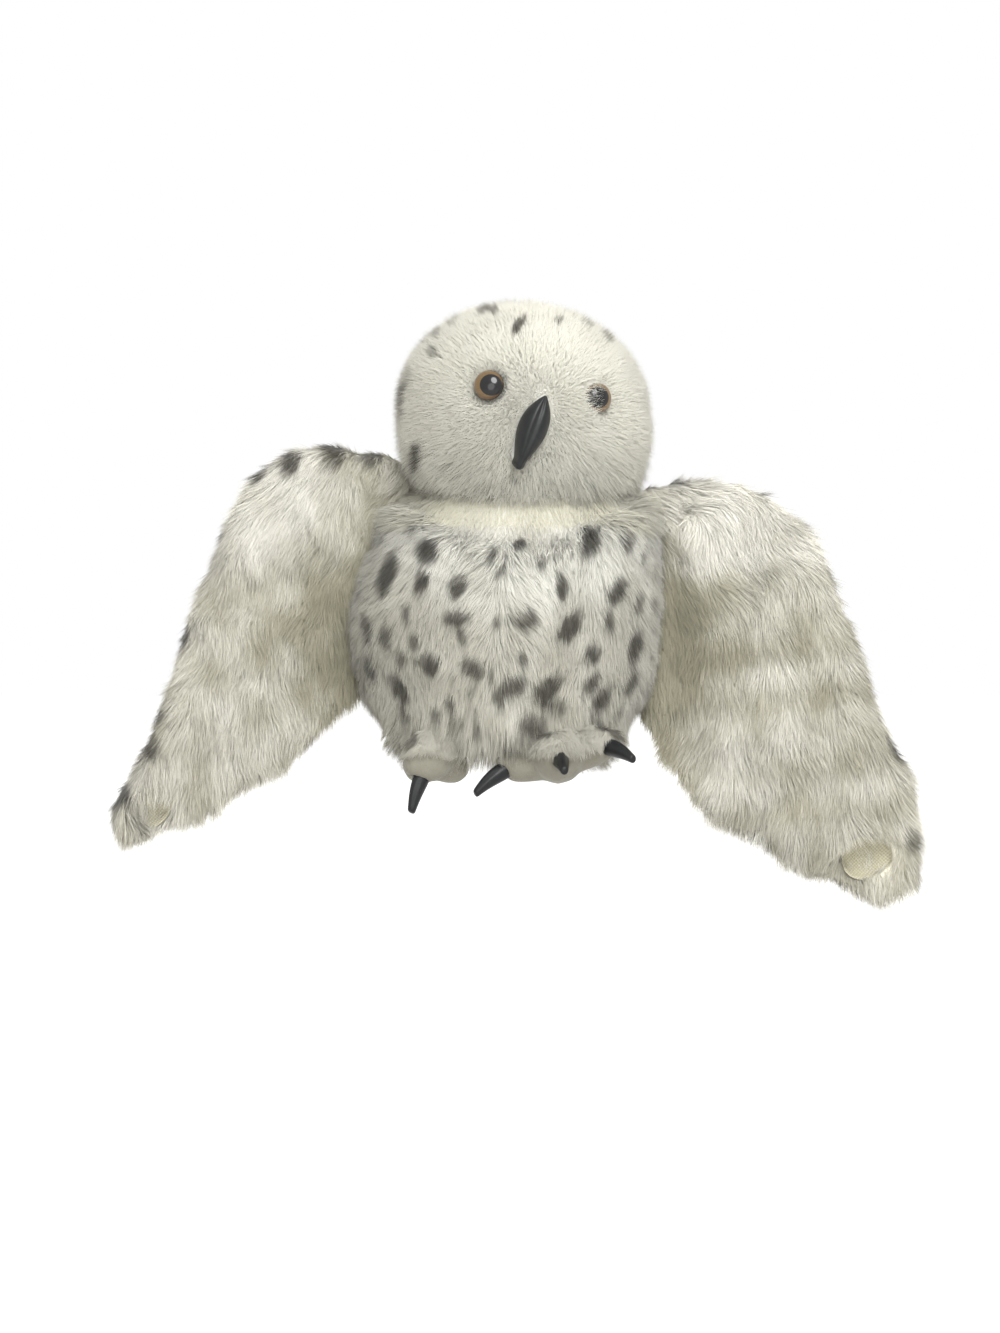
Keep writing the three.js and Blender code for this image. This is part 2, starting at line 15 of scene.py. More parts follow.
import bmesh
import bpy
import numpy as np
from mathutils import Matrix, Vector
from mathutils.bvhtree import BVHTree
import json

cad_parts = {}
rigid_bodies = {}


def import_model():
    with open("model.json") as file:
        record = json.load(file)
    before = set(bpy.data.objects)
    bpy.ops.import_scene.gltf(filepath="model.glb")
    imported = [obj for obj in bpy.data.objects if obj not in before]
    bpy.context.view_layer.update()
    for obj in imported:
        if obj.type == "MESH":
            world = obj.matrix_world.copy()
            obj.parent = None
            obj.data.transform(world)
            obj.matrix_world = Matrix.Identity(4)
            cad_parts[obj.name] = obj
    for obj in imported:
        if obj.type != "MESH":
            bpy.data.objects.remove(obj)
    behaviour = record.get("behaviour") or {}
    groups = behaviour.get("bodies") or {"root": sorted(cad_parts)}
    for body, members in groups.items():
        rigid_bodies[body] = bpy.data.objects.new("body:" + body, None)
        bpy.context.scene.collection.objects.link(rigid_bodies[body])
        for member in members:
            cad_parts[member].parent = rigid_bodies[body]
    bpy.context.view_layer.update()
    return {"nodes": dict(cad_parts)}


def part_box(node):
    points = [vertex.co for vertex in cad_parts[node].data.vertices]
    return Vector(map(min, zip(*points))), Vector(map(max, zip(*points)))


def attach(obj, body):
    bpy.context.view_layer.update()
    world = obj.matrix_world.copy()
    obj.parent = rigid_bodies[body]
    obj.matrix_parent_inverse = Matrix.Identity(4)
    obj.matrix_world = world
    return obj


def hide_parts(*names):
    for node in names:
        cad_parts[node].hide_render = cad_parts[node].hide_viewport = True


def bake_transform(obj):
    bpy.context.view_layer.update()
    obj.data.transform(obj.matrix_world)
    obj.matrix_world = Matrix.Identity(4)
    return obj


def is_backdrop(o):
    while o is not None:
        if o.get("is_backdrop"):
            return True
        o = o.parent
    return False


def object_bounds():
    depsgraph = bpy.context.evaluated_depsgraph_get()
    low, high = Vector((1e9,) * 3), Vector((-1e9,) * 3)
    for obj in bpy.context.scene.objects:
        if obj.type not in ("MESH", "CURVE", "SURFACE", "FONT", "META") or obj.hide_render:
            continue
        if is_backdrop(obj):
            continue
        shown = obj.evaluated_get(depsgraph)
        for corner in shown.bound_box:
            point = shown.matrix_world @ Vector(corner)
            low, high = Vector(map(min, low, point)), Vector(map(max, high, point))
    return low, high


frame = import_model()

mm = 0.001

# %% [markdown]
# ## Helpers for modelling
# An operator acts on all that is selected, so each step first selects one object and nothing else.
# Vertices are picked in code by a test on their place, because there is no mouse.

# %% Selecting and editing


def only(obj):
    bpy.ops.object.select_all(action="DESELECT")
    obj.select_set(True)
    bpy.context.view_layer.objects.active = obj


@contextmanager
def editing(obj):
    """Edit mode with all of one object selected, and object mode again at the end."""
    only(obj)
    bpy.ops.object.mode_set(mode="EDIT")
    bpy.ops.mesh.select_all(action="SELECT")
    yield
    bpy.ops.object.mode_set(mode="OBJECT")


def select_where(obj, test):
    """In edit mode, selects only the vertices whose place passes the test."""
    bpy.ops.mesh.select_all(action="DESELECT")
    mesh = bmesh.from_edit_mesh(obj.data)
    for vertex in mesh.verts:
        if test(vertex.co):
            vertex.select_set(True)
    mesh.select_flush_mode()
    bmesh.update_edit_mesh(obj.data)


def named(name):
    """Names the active object, such as a primitive that was just added, and its mesh."""
    obj = bpy.context.object
    obj.name = obj.data.name = name
    return obj


def linked(name, data):
    obj = bpy.data.objects.new(name, data)
    bpy.context.scene.collection.objects.link(obj)
    return obj


def joined(name, pieces):
    """Makes one object of several."""
    only(pieces[0])
    for piece in pieces:
        piece.select_set(True)
    if len(pieces) > 1:
        bpy.ops.object.join()
    return named(name)


def apply_modifiers(obj):
    only(obj)
    for modifier in list(obj.modifiers):
        bpy.ops.object.modifier_apply(modifier=modifier.name)
    return obj


def subdivided(obj, levels=1):
    fine = obj.modifiers.new("fine", "SUBSURF")
    fine.levels = fine.render_levels = levels
    return apply_modifiers(obj)


# %% Reading and writing vertices in one go


def vertex_rows(mesh, what):
    flat = np.zeros(len(mesh.vertices) * 3, np.float32)
    mesh.vertices.foreach_get(what, flat)
    return flat.reshape(-1, 3).astype(float)


def points_of(mesh):
    return vertex_rows(mesh, "co")


def normals_of(mesh):
    return vertex_rows(mesh, "normal")


def set_points(mesh, points):
    mesh.vertices.foreach_set("co", np.asarray(points, np.float32).ravel())
    mesh.update()


def mark(mesh, name, values):
    """Stores a number with each vertex, for the material to read."""
    layer = mesh.attributes.new(name, "FLOAT", "POINT")
    layer.data.foreach_set("value", np.asarray(values, np.float32))


def place(obj, matrix):
    """Puts a piece that was modelled about the origin in its place, in its mesh."""
    obj.data.transform(matrix)
    obj.matrix_world = Matrix.Identity(4)
    return obj


def dress(obj, material, body=None):
    """Gives a piece its material and, where one is given, the body it rides on."""
    obj.data.materials.clear()
    obj.data.materials.append(material)
    if body:
        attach(obj, body)


# %% Shapes of numbers


def smooth_step(low, high, value):
    """0 at low, 1 at high and smooth between them; low may be the larger one."""
    t = np.clip((value - low) / (high - low), 0, 1)
    return t * t * (3 - 2 * t)


def bell(value, middle, width):
    """1 at the middle, falling off smoothly to both sides."""
    return np.exp(-(((value - middle) / width) ** 2))


def unit(vectors):
    return vectors / np.maximum(np.linalg.norm(vectors, axis=1, keepdims=True), 1e-9)


def along_surface(vectors, normals):
    """What is left of vectors, at length 1, without their part along the normals."""
    return unit(vectors - normals * (vectors * normals).sum(1, keepdims=True))


def ripple(points, size, seed, waves=7):
    """Smooth noise with three parts, each from about -1 to 1, with forms of about this size."""
    rng = np.random.default_rng(seed)
    result = np.zeros((len(points), 3))
    for part in range(3):
        for _ in range(waves):
            heading = rng.normal(size=3)
            heading *= 2 * math.pi / (size * np.linalg.norm(heading)) * rng.uniform(0.6, 1.5)
            result[:, part] += np.sin(points @ heading + rng.uniform(0, 2 * math.pi))
    return result / math.sqrt(waves / 2) / 1.6


# %% [markdown]
# ## Helpers for materials
# Shader maths reads best as an expression. `Value` wraps a socket, and each operator on it adds a
# Math node. `Finish` is one material, and `node` adds any other node with its settings and inputs.

# %% Shader expressions


class Value:
    """A number that a shader works out at each point."""

    def __init__(self, finish, socket):
        self.finish, self.socket = finish, socket

    def math(self, operation, *terms):
        node = self.finish.node("ShaderNodeMath", {"operation": operation}, dict(enumerate(terms)))
        return Value(self.finish, node.outputs[0])

    def __add__(self, other):
        return self.math("ADD", self, other)

    def __sub__(self, other):
        return self.math("SUBTRACT", self, other)

    def __rsub__(self, other):
        return self.math("SUBTRACT", other, self)

    def __mul__(self, other):
        return self.math("MULTIPLY", self, other)

    __radd__, __rmul__ = __add__, __mul__

    def wave(self, frequency):
        """A sine wave from 0 to 1."""
        return self.math("SINE", self * frequency) * 0.5 + 0.5

    def step(self, low, high):
        """0 below low, 1 above high and smooth between them."""
        settings = {"interpolation_type": "SMOOTHSTEP"}
        inputs = {"Value": self, "From Min": low, "From Max": high}
        node = self.finish.node("ShaderNodeMapRange", settings, inputs)
        return Value(self.finish, node.outputs["Result"])


class Finish:
    """A material with one Principled shader."""

    def __init__(self, name, **constants):
        self.material = bpy.data.materials.new(name)
        self.material.use_nodes = True
        self.tree = self.material.node_tree
        self.shader = self.tree.nodes["Principled BSDF"]
        for socket, value in constants.items():
            self.shader.inputs[socket.replace("_", " ")].default_value = value

    def plug(self, value, socket):
        if isinstance(value, Value):
            value = value.socket
        if isinstance(value, bpy.types.NodeSocket):
            self.tree.links.new(value, socket)
        else:
            socket.default_value = value

    def node(self, kind, settings=None, inputs=None):
        node = self.tree.nodes.new(kind)
        for name, value in (settings or {}).items():
            setattr(node, name, value)
        for name, value in (inputs or {}).items():
            self.plug(value, node.inputs[name])
        return node

    def attribute(self, name):
        node = self.node("ShaderNodeAttribute", {"attribute_name": name})
        return Value(self, node.outputs["Fac"])

    def place(self):
        """The point on the piece, in metres."""
        return self.node("ShaderNodeTexCoord").outputs["Object"]

    def axis(self, name):
        node = self.node("ShaderNodeSeparateXYZ", {}, {"Vector": self.place()})
        return Value(self, node.outputs[name])

    def noise(self, size):
        """Cloudy noise from 0 to 1 with forms of about this size in metres."""
        inputs = {"Vector": self.place(), "Scale": 1 / size}
        return Value(self, self.node("ShaderNodeTexNoise", {}, inputs).outputs[0])

    def mix(self, share, first, second):
        """A colour between two colours."""
        settings = {"data_type": "RGBA", "clamp_factor": True}
        node = self.node("ShaderNodeMix", settings, {"Factor": share})
        for socket, colour in ((node.inputs[6], first), (node.inputs[7], second)):
            self.plug((*colour, 1) if isinstance(colour, tuple) else colour, socket)
        return node.outputs[2]

    def bump(self, height, depth):
        node = self.node("ShaderNodeBump", {}, {"Height": height, "Distance": depth})
        self.set("Normal", node.outputs["Normal"])

    def set(self, socket, value):
        self.plug((*value, 1) if isinstance(value, tuple) else value, self.shader.inputs[socket])


# %% [markdown]
# ## Fur and backing
# Plush is a knitted backing with a pile of fine fibres. The print on it is soft, because it only
# dyes the fibres. Each strand here carries three numbers: `ink`, how far the printed spot reaches
# it, `along`, from 0 at its root to 1 at its tip, and `tone`, its own shade, to which painted
# light and shade are added in places. One recipe mixes colours by them for all the plush.

# %% The plush finishes
spot_ink = (0.085, 0.080, 0.066)


def plush(name, pale, shade, deep):
    """Strands between two colours by their tone; a low tone gets painted shade at the roots."""
    gloss = {"Sheen_Weight": 0.2, "Sheen_Roughness": 0.5, "Specular_IOR_Level": 0.2}
    finish = Finish(name, Roughness=0.75, **gloss)
    tone = finish.attribute("tone")
    # The deep colour at the roots is painted shade between strands, less where the tone is high.
    free_of_root_shade = finish.attribute("along").step(-0.3, 0.55) + tone * 0.5
    strand = finish.mix(free_of_root_shade, deep, finish.mix(tone, shade, pale))
    finish.set("Base Color", finish.mix(finish.attribute("ink"), strand, spot_ink))
    finish.set("Roughness", 0.62 + 0.2 * finish.noise(4 * mm))
    return finish.material


# Painted shade draws a strand's tone to the dark shade colour, and painted light to the pale one.
white_fur = plush("white fur", (0.75, 0.742, 0.672), (0.71, 0.70, 0.615), (0.66, 0.648, 0.555))
belly_fur = plush("belly fur", (0.965, 0.958, 0.885), (0.60, 0.587, 0.51), (0.58, 0.565, 0.48))
bib_fur = plush("bib fur", (0.80, 0.785, 0.67), (0.74, 0.72, 0.59), (0.66, 0.64, 0.50))
cream_fur = plush("cream fur", (0.965, 0.95, 0.87), (0.42, 0.398, 0.30), (0.44, 0.41, 0.30))
# The fur over the toes is the belly's pile in painted shade, darker than the belly fur.
shaded_toe_fur = plush("fur over the toes", (0.56, 0.55, 0.485), (0.42, 0.41, 0.35), (0.38, 0.37, 0.31))

# %% Knitted backing


def backing(name, colour):
    """The knitted ground that the pile grows from; it only shows between strands."""
    finish = Finish(name, Roughness=0.9)
    rows = finish.axis("Z").wave(2 * math.pi / (1.0 * mm))
    loops = finish.axis("X").wave(2 * math.pi / (1.2 * mm)) * rows
    dark = tuple(0.8 * c for c in colour)
    knit = finish.mix(loops * 0.6 + finish.noise(6 * mm) * 0.4, dark, colour)
    finish.set("Base Color", finish.mix(finish.attribute("ink"), knit, spot_ink))
    finish.bump(loops, 0.2 * mm)
    return finish.material


white_backing = backing("white backing", (0.92, 0.91, 0.86))
cream_backing = backing("cream backing", (0.89, 0.87, 0.75))

# %% [markdown]
# ## Stuffed forms
# The CAD panels say where each stuffed form is. Copies of them are joined, merged and remeshed into
# one closed skin, which is drawn in a little to leave room for the pile. A short cloth simulation
# with air pressure then rounds it as stuffing does.

# %% Skins from the panels
stuffing_pressure, stuffing_frames = 4.0, 20


def panels_as_one(name, nodes):
    """One closed mesh from copies of CAD nodes."""
    obj = joined(name, [linked(name, frame["nodes"][node].data.copy()) for node in nodes])
    with editing(obj):
        bpy.ops.mesh.remove_doubles(threshold=0.01 * mm)
    return obj


def remeshed(obj, voxel, smoothing=4):
    only(obj)
    obj.data.remesh_voxel_size = voxel
    obj.data.remesh_voxel_adaptivity = 0
    bpy.ops.object.voxel_remesh()
    smooth = obj.modifiers.new("smooth", "SMOOTH")
    smooth.factor, smooth.iterations = 0.5, smoothing
    return apply_modifiers(obj)


def draw_in(obj, depth, outer):
    """Moves the outer side of a skin inwards; outer gives each point's share, from 0 to 1."""
    points, normals = points_of(obj.data), normals_of(obj.data)
    set_points(obj.data, points - normals * (depth * outer(points, normals))[:, None])


def stuffed(obj, outer, cap):
    """Lets the skin swell under pressure, with its inner side pinned, by at most a cap."""
    before = points_of(obj.data)
    pinned = obj.vertex_groups.new(name="pinned")
    share = outer(before, normals_of(obj.data))
    for index in np.flatnonzero(share < 0.5):
        pinned.add([int(index)], 1.0, "ADD")
    cloth = obj.modifiers.new("cloth", "CLOTH")
    cloth.settings.quality = 5
    cloth.settings.mass = 0.3
    cloth.settings.tension_stiffness = 15
    cloth.settings.use_pressure = True
    cloth.settings.uniform_pressure_force = stuffing_pressure
    cloth.settings.vertex_group_mass = "pinned"
    cloth.settings.effector_weights.gravity = 0
    scene = bpy.context.scene
    for step in range(stuffing_frames):
        scene.frame_set(step + 1)
    swollen = obj.evaluated_get(bpy.context.evaluated_depsgraph_get())
    moved = points_of(swollen.data) - before
    obj.modifiers.remove(cloth)
    obj.vertex_groups.clear()
    scene.frame_set(1)
    length = np.linalg.norm(moved, axis=1)
    moved *= np.minimum(1, cap / np.maximum(length, 1e-9))[:, None]
    set_points(obj.data, before + moved)
    print(obj.name, "swells by", round(float(np.minimum(length, cap).mean()) / mm, 2), "mm")
    return subdivided(obj)


# %% The body
panel_inset = 2.5 * mm
body_nodes = ["belly_left", "belly_right", "back_left", "back_right"]
body_nodes += ["body_padding_belly", "body_padding_back", "neck_collar"]
belly_half = np.array((79.0, 64.0)) * mm
neck_lean = 9.4 * mm


def lean(z):
    """How far the body's middle line is to the viewer's right at a height, in metres."""
    return neck_lean * smooth_step(66 * mm, 137 * mm, z)


def body_outer(points, normals):
    """1 on the body's outside, 0 in its hand cavity and under its hem."""
    away = points[:, :2] - np.stack([lean(points[:, 2]), 0 * points[:, 2]], 1)
    away /= np.linalg.norm(away, axis=1)[:, None]
    facing = (away * normals[:, :2]).sum(1)
    return smooth_step(0.0, 0.4, facing) * smooth_step(3 * mm, 9 * mm, points[:, 2])


body_cover = remeshed(panels_as_one("body_cover", body_nodes), 4.5 * mm)
draw_in(body_cover, panel_inset, body_outer)
stuffed(body_cover, body_outer, 1.5 * mm)

# %% The bib and the hem
# The bib's edge is lowest at this x and z, and has risen this far at this distance; all in mm.
bib_middle, bib_low, bib_rise, bib_half = 5, 111, 25, 65
back_top = 134
# How far the bib lies back, and how far the long pile's ground stands out below it, in mm.
bib_step, ridge_height = 2.2, 2.6


def below_bib(points):
    """How far a point is below the bib's dipping edge, in mm; the back has no bib."""
    x, z = points[:, 0] / mm, points[:, 2] / mm
    edge = bib_low + bib_rise * ((x - bib_middle) / bib_half) ** 2
    return np.where(points[:, 1] < 0, edge, back_top) - z


points, normals = points_of(body_cover.data), normals_of(body_cover.data)
below = below_bib(points)
ridge = ridge_height * smooth_step(-2, 7, below) * smooth_step(45, 12, below)
step_in = bib_step * smooth_step(1, -5, below)
front = body_outer(points, normals) * smooth_step(5 * mm, -25 * mm, points[:, 1])
points += normals * ((ridge - step_in) * front * mm)[:, None]
# The sleeve gathers towards its hem.
hem_middle, hem_gather = 5 * mm, 0.13
gather = smooth_step(36 * mm, 4 * mm, points[:, 2]) * body_outer(points, normals)
points[:, 0] = hem_middle + (points[:, 0] - hem_middle) * (1 - hem_gather * gather)
set_points(body_cover.data, points)


def half_width(z):
    """How far the body's skin reaches sideways at a height; all in mm."""
    points = points_of(body_cover.data)
    level = points[np.abs(points[:, 2] - z * mm) < 4 * mm]
    return float(np.abs(level[:, 0] - lean(level[:, 2])).max()) / mm


# %% The head
# Below its middle the head is a ball of this radius in mm, and above it a flatter dome.
head_radius, head_dome = 64.0, 53.0
head_centre = Vector((9.4, -4.0, 180.0)) * mm
head_turn = Matrix.Rotation(math.radians(6.3), 3, "Y") @ Matrix.Rotation(math.radians(9.5), 3, "Z")
head_matrix = Matrix.Translation(head_centre) @ head_turn.to_4x4()


def head_outer(points, normals):
    """1 on the head's outside and 0 in the finger's sleeve."""
    away = points - np.array(head_centre)
    away /= np.linalg.norm(away, axis=1)[:, None]
    return smooth_step(0.2, 0.6, (away * normals).sum(1))


head_panels = ["head_face", "head_left", "head_right"]
head_cover = remeshed(panels_as_one("head_cover", [*head_panels, "head_stuffing"]), 4.5 * mm)
draw_in(head_cover, panel_inset, head_outer)
# The cheek on the viewer's right is fuller.
points = points_of(head_cover.data)
fuller = smooth_step(25 * mm, 60 * mm, points[:, 0]) * smooth_step(182 * mm, 158 * mm, points[:, 2])
points[:, 0] += 3.5 * mm * fuller
set_points(head_cover.data, points)
stuffed(head_cover, head_outer, 1.2 * mm)

# %% The wings


def wing_outer(points, normals):
    """0 at the seam with the body and 1 on the free wing."""
    return smooth_step(70 * mm, 105 * mm, np.abs(points[:, 0]))


def wing_folds(points):
    """Folds that run mostly across the wing, from about -1 in a hollow to 1."""
    return ripple(points * (1.0, 0.3, 0.7), 44 * mm, 61)[:, 0]


web_depth, web_padding = 7.5 * mm, 4 * mm
fold_height, root_tuck = 2.4 * mm, 9 * mm
wing_skins = {}
for side in ("left", "right"):
    skin = panels_as_one(f"wing_cover_{side}", [f"wing_inner_{side}", f"wing_outer_{side}"])
    # The web at the seam is thinner than a voxel, so it is padded before the remesh.
    points = points_of(skin.data)
    web = smooth_step(112 * mm, 84 * mm, np.abs(points[:, 0]))
    points[:, 1] += web_padding * web * np.clip((points[:, 1] - web_depth) / mm, -1, 1)
    set_points(skin.data, points)
    remeshed(skin, 4.0 * mm)
    draw_in(skin, 1.5 * mm, wing_outer)
    skin = wing_skins[side] = stuffed(skin, wing_outer, 1.5 * mm)
    # The wadding has settled into soft folds across the wing.
    points, normals = points_of(skin.data), normals_of(skin.data)
    folds = wing_folds(points) * np.abs(normals[:, 1]) * wing_outer(points, normals)
    points = points + normals * (fold_height * folds)[:, None]
    # The top of its root is tucked in under the cheek.
    tucked = smooth_step(80 * mm, 58 * mm, np.abs(points[:, 0]))
    tucked *= smooth_step(98 * mm, 124 * mm, points[:, 2])
    points[:, 0] -= np.sign(points[:, 0]) * root_tuck * tucked
    set_points(skin.data, points)

# %% The feet
foot_growth, left_foot_middle, left_foot_widening = 1.9 * mm, -36 * mm, 1.22
foot_skins = {}
for side in ("left", "right"):
    skin = remeshed(panels_as_one(f"foot_cover_{side}", [f"foot_{side}"]), 1.6 * mm, 14)
    foot_skins[side] = subdivided(skin)
    # A negative depth makes the pad fuller, and the left one is wider.
    draw_in(skin, -foot_growth, lambda points, normals: np.ones(len(points)))
    if side == "left":
        points = points_of(skin.data)
        aside = points[:, 0] - left_foot_middle
        points[:, 0] = left_foot_middle + left_foot_widening * aside
        set_points(skin.data, points)

for skin in (body_cover, head_cover, *wing_skins.values(), *foot_skins.values()):
    print(skin.name, len(skin.data.polygons), "faces")

# %% [markdown]
# ## Fur as geometry
# A strand is a three-sided spike with a closed root: four triangles, about half a millimetre wide.
# About 430,000 of them are grown by one function. Their roots are spread evenly over the skin by
# area. Each strand leaves the skin at its lift angle, lies over in its comb direction, and its tip
# is drawn to the middle of its tuft. Building them one by one with operators would take hours, so
# here the arrays are worked out at once.

# %% Roots and noise


def surface_of(obj):
    """The corner points and corner normals of a skin's triangles."""
    mesh = obj.data
    mesh.calc_loop_triangles()
    corners = np.zeros(len(mesh.loop_triangles) * 3, np.int32)
    mesh.loop_triangles.foreach_get("vertices", corners)
    corners = corners.reshape(-1, 3)
    return points_of(mesh)[corners], normals_of(mesh)[corners]


def nearest_panels(centres, nodes):
    """For each point, which of the CAD nodes is nearest."""
    distance = np.zeros((len(nodes), len(centres)))
    for row, node in enumerate(nodes):
        mesh = frame["nodes"][node].data
        tree = BVHTree.FromPolygons(
            [v.co for v in mesh.vertices], [p.vertices for p in mesh.polygons]
        )
        distance[row] = [tree.find_nearest(Vector(c))[3] for c in centres]
    return distance.argmin(0)


def roots_on(corners, normals, spacing, seed):
    """Points spread evenly by area, one to each square of the spacing, with their normals."""
    rng = np.random.default_rng(seed)
    edges = np.cross(corners[:, 1] - corners[:, 0], corners[:, 2] - corners[:, 0])
    areas = np.linalg.norm(edges, axis=1) / 2
    reach = np.cumsum(areas)
    count = int(reach[-1] / spacing**2)
    picks = (np.arange(count) + rng.uniform(size=count)) * reach[-1] / count
    face = np.searchsorted(reach, picks).clip(0, len(areas) - 1)
    a, b = rng.uniform(size=(2, count, 1))
    flip = (a + b) > 1
    a, b = np.where(flip, 1 - a, a), np.where(flip, 1 - b, b)
    weights = np.stack([1 - a - b, a, b], 1)
    return (corners[face] * weights).sum(1), unit((normals[face] * weights).sum(1))


# %% Growing strands
root_depth = 0.5 * mm  # how deep a strand starts under the skin
strand_faces = np.array([(0, 1, 3), (1, 2, 3), (2, 0, 3), (0, 2, 1)])
# A strand's place for its corners in its own square of the baked picture.
strand_square = np.array([(0.2, 0.2), (0.8, 0.2), (0.5, 0.35), (0.5, 0.85)])


def draw_tufts(root, tip, size, share, seed):
    """Strands in one tuft lean to its middle. The tufts' borders are bent, so no grid shows."""
    cell = np.floor((root + ripple(root, 4 * size, seed) * size * 0.8) / size).astype(np.int64)
    _, group = np.unique(cell @ np.array((1, 4096, 4096**2)), return_inverse=True)
    members = np.bincount(group)[:, None]
    sums = np.stack([np.bincount(group, tip[:, axis]) for axis in range(3)], 1)
    return tip + ((sums / members)[group] - tip) * share


def grow(
    name,
    root,
    normal,
    comb,
    length,
    lift,
    ink,
    seed,
    tuft=3.5,
    pull=0.35,
    spread=0.2,
    ruffle=0.16,
    shortest=0.72,
    width=0.22,
    shade=0,
    hang=None,
    facing=None,
):
    """A piece of fur. Lengths are in metres, width and tuft in millimetres, lift in radians.

    Spread and ruffle loosen the comb and the lift, and pull is each tuft's. Hang is a share and the
    way that strands fall by it. Facing is how the pile is lit, where that isn't as its skin is.
    """
    rng = np.random.default_rng(seed)
    count = len(root)
    comb = along_surface(comb, normal)
    comb = along_surface(comb + spread * rng.normal(size=(count, 3)), normal)
    lift = np.full(count, lift) + rng.normal(0, ruffle, count)
    length = length * rng.uniform(shortest, 1.06, count)
    heading = normal * np.sin(lift)[:, None] + comb * np.cos(lift)[:, None]
    if hang:
        share, fall = hang
        heading = unit(heading * (1 - share[:, None]) + fall * share[:, None])
    tip = root + heading * length[:, None]
    tuft = tuft * mm
    tip = draw_tufts(root, tip, tuft, pull, seed + 5)
    tip = draw_tufts(root, tip, 3 * tuft, 0.4 * pull, seed + 6)

    # One flat of each strand faces out of the pile, so the pile catches the light as a whole.
    axis = unit(tip - root)
    out = along_surface(normal + 0.02 * rng.normal(size=(count, 3)), axis)
    side = np.cross(out, axis)
    roll = rng.normal(0, 0.3, count)
    radius = width * mm * rng.uniform(0.75, 1.25, count)[:, None]
    points = np.zeros((count, 4, 3))
    for corner in range(3):
        angle = (math.pi / 6 + 2 * math.pi * corner / 3 + roll)[:, None]
        spoke = side * np.cos(angle) + out * np.sin(angle)
        points[:, corner] = root - axis * root_depth + spoke * radius
    points[:, 3] = tip

    mesh = bpy.data.meshes.new(name)
    mesh.vertices.add(4 * count)
    mesh.vertices.foreach_set("co", points.astype(np.float32).ravel())
    loops = (4 * np.arange(count)[:, None, None] + strand_faces).astype(np.int32).ravel()
    mesh.loops.add(len(loops))
    mesh.loops.foreach_set("vertex_index", loops)
    mesh.polygons.add(4 * count)
    mesh.polygons.foreach_set("loop_start", np.arange(0, 12 * count, 3, dtype=np.int32))
    mesh.update(calc_edges=True)
    mesh.shade_smooth()

    # A strand is shaded mostly like the skin under it, as light scatters through real pile.
    soft = np.repeat((normal if facing is None else facing)[:, None], 4, 1)
    soft[:, :3] += 0.5 * (points[:, :3] - root[:, None]) / radius[:, None]
    mesh.normals_split_custom_set_from_vertices(unit(soft.reshape(-1, 3)).astype(np.float32))

    tone = 0.62 + 0.2 * ripple(root, 30 * mm, seed + 8)[:, 0] + rng.normal(0, 0.16, count)
    # Shade above 0 is painted shade on the pile, and below 0 painted light.
    tone = tone - shade
    fade = rng.uniform(0.9, 1.0, count)
    low = ink(root + 0.4 * (tip - root), normal) * fade
    high = ink(root + 0.85 * (tip - root), normal) * fade
    mark(mesh, "ink", np.stack([low, low, low, high], 1).ravel())
    mark(mesh, "tone", np.repeat(np.clip(tone, 0, 1), 4))
    mark(mesh, "along", np.tile([0, 0, 0, 1], count))

    # Each strand has a small square of its own in this UV layout.
    columns = math.ceil(math.sqrt(count))
    cell = np.stack([np.arange(count) % columns, np.arange(count) // columns], 1)
    places = ((cell[:, None] + strand_square) / columns)[:, strand_faces.ravel()]
    mesh.uv_layers.new(name="OFBake").data.foreach_set("uv", places.astype(np.float32).ravel())
    print(name, count, "strands, longest", round(float(length.max()) / mm, 1), "mm")
    return linked(name, mesh)


def stain(skin, ink):
    """Prints the same spots on the backing under the fur."""
    mark(skin.data, "ink", ink(points_of(skin.data), normals_of(skin.data)))
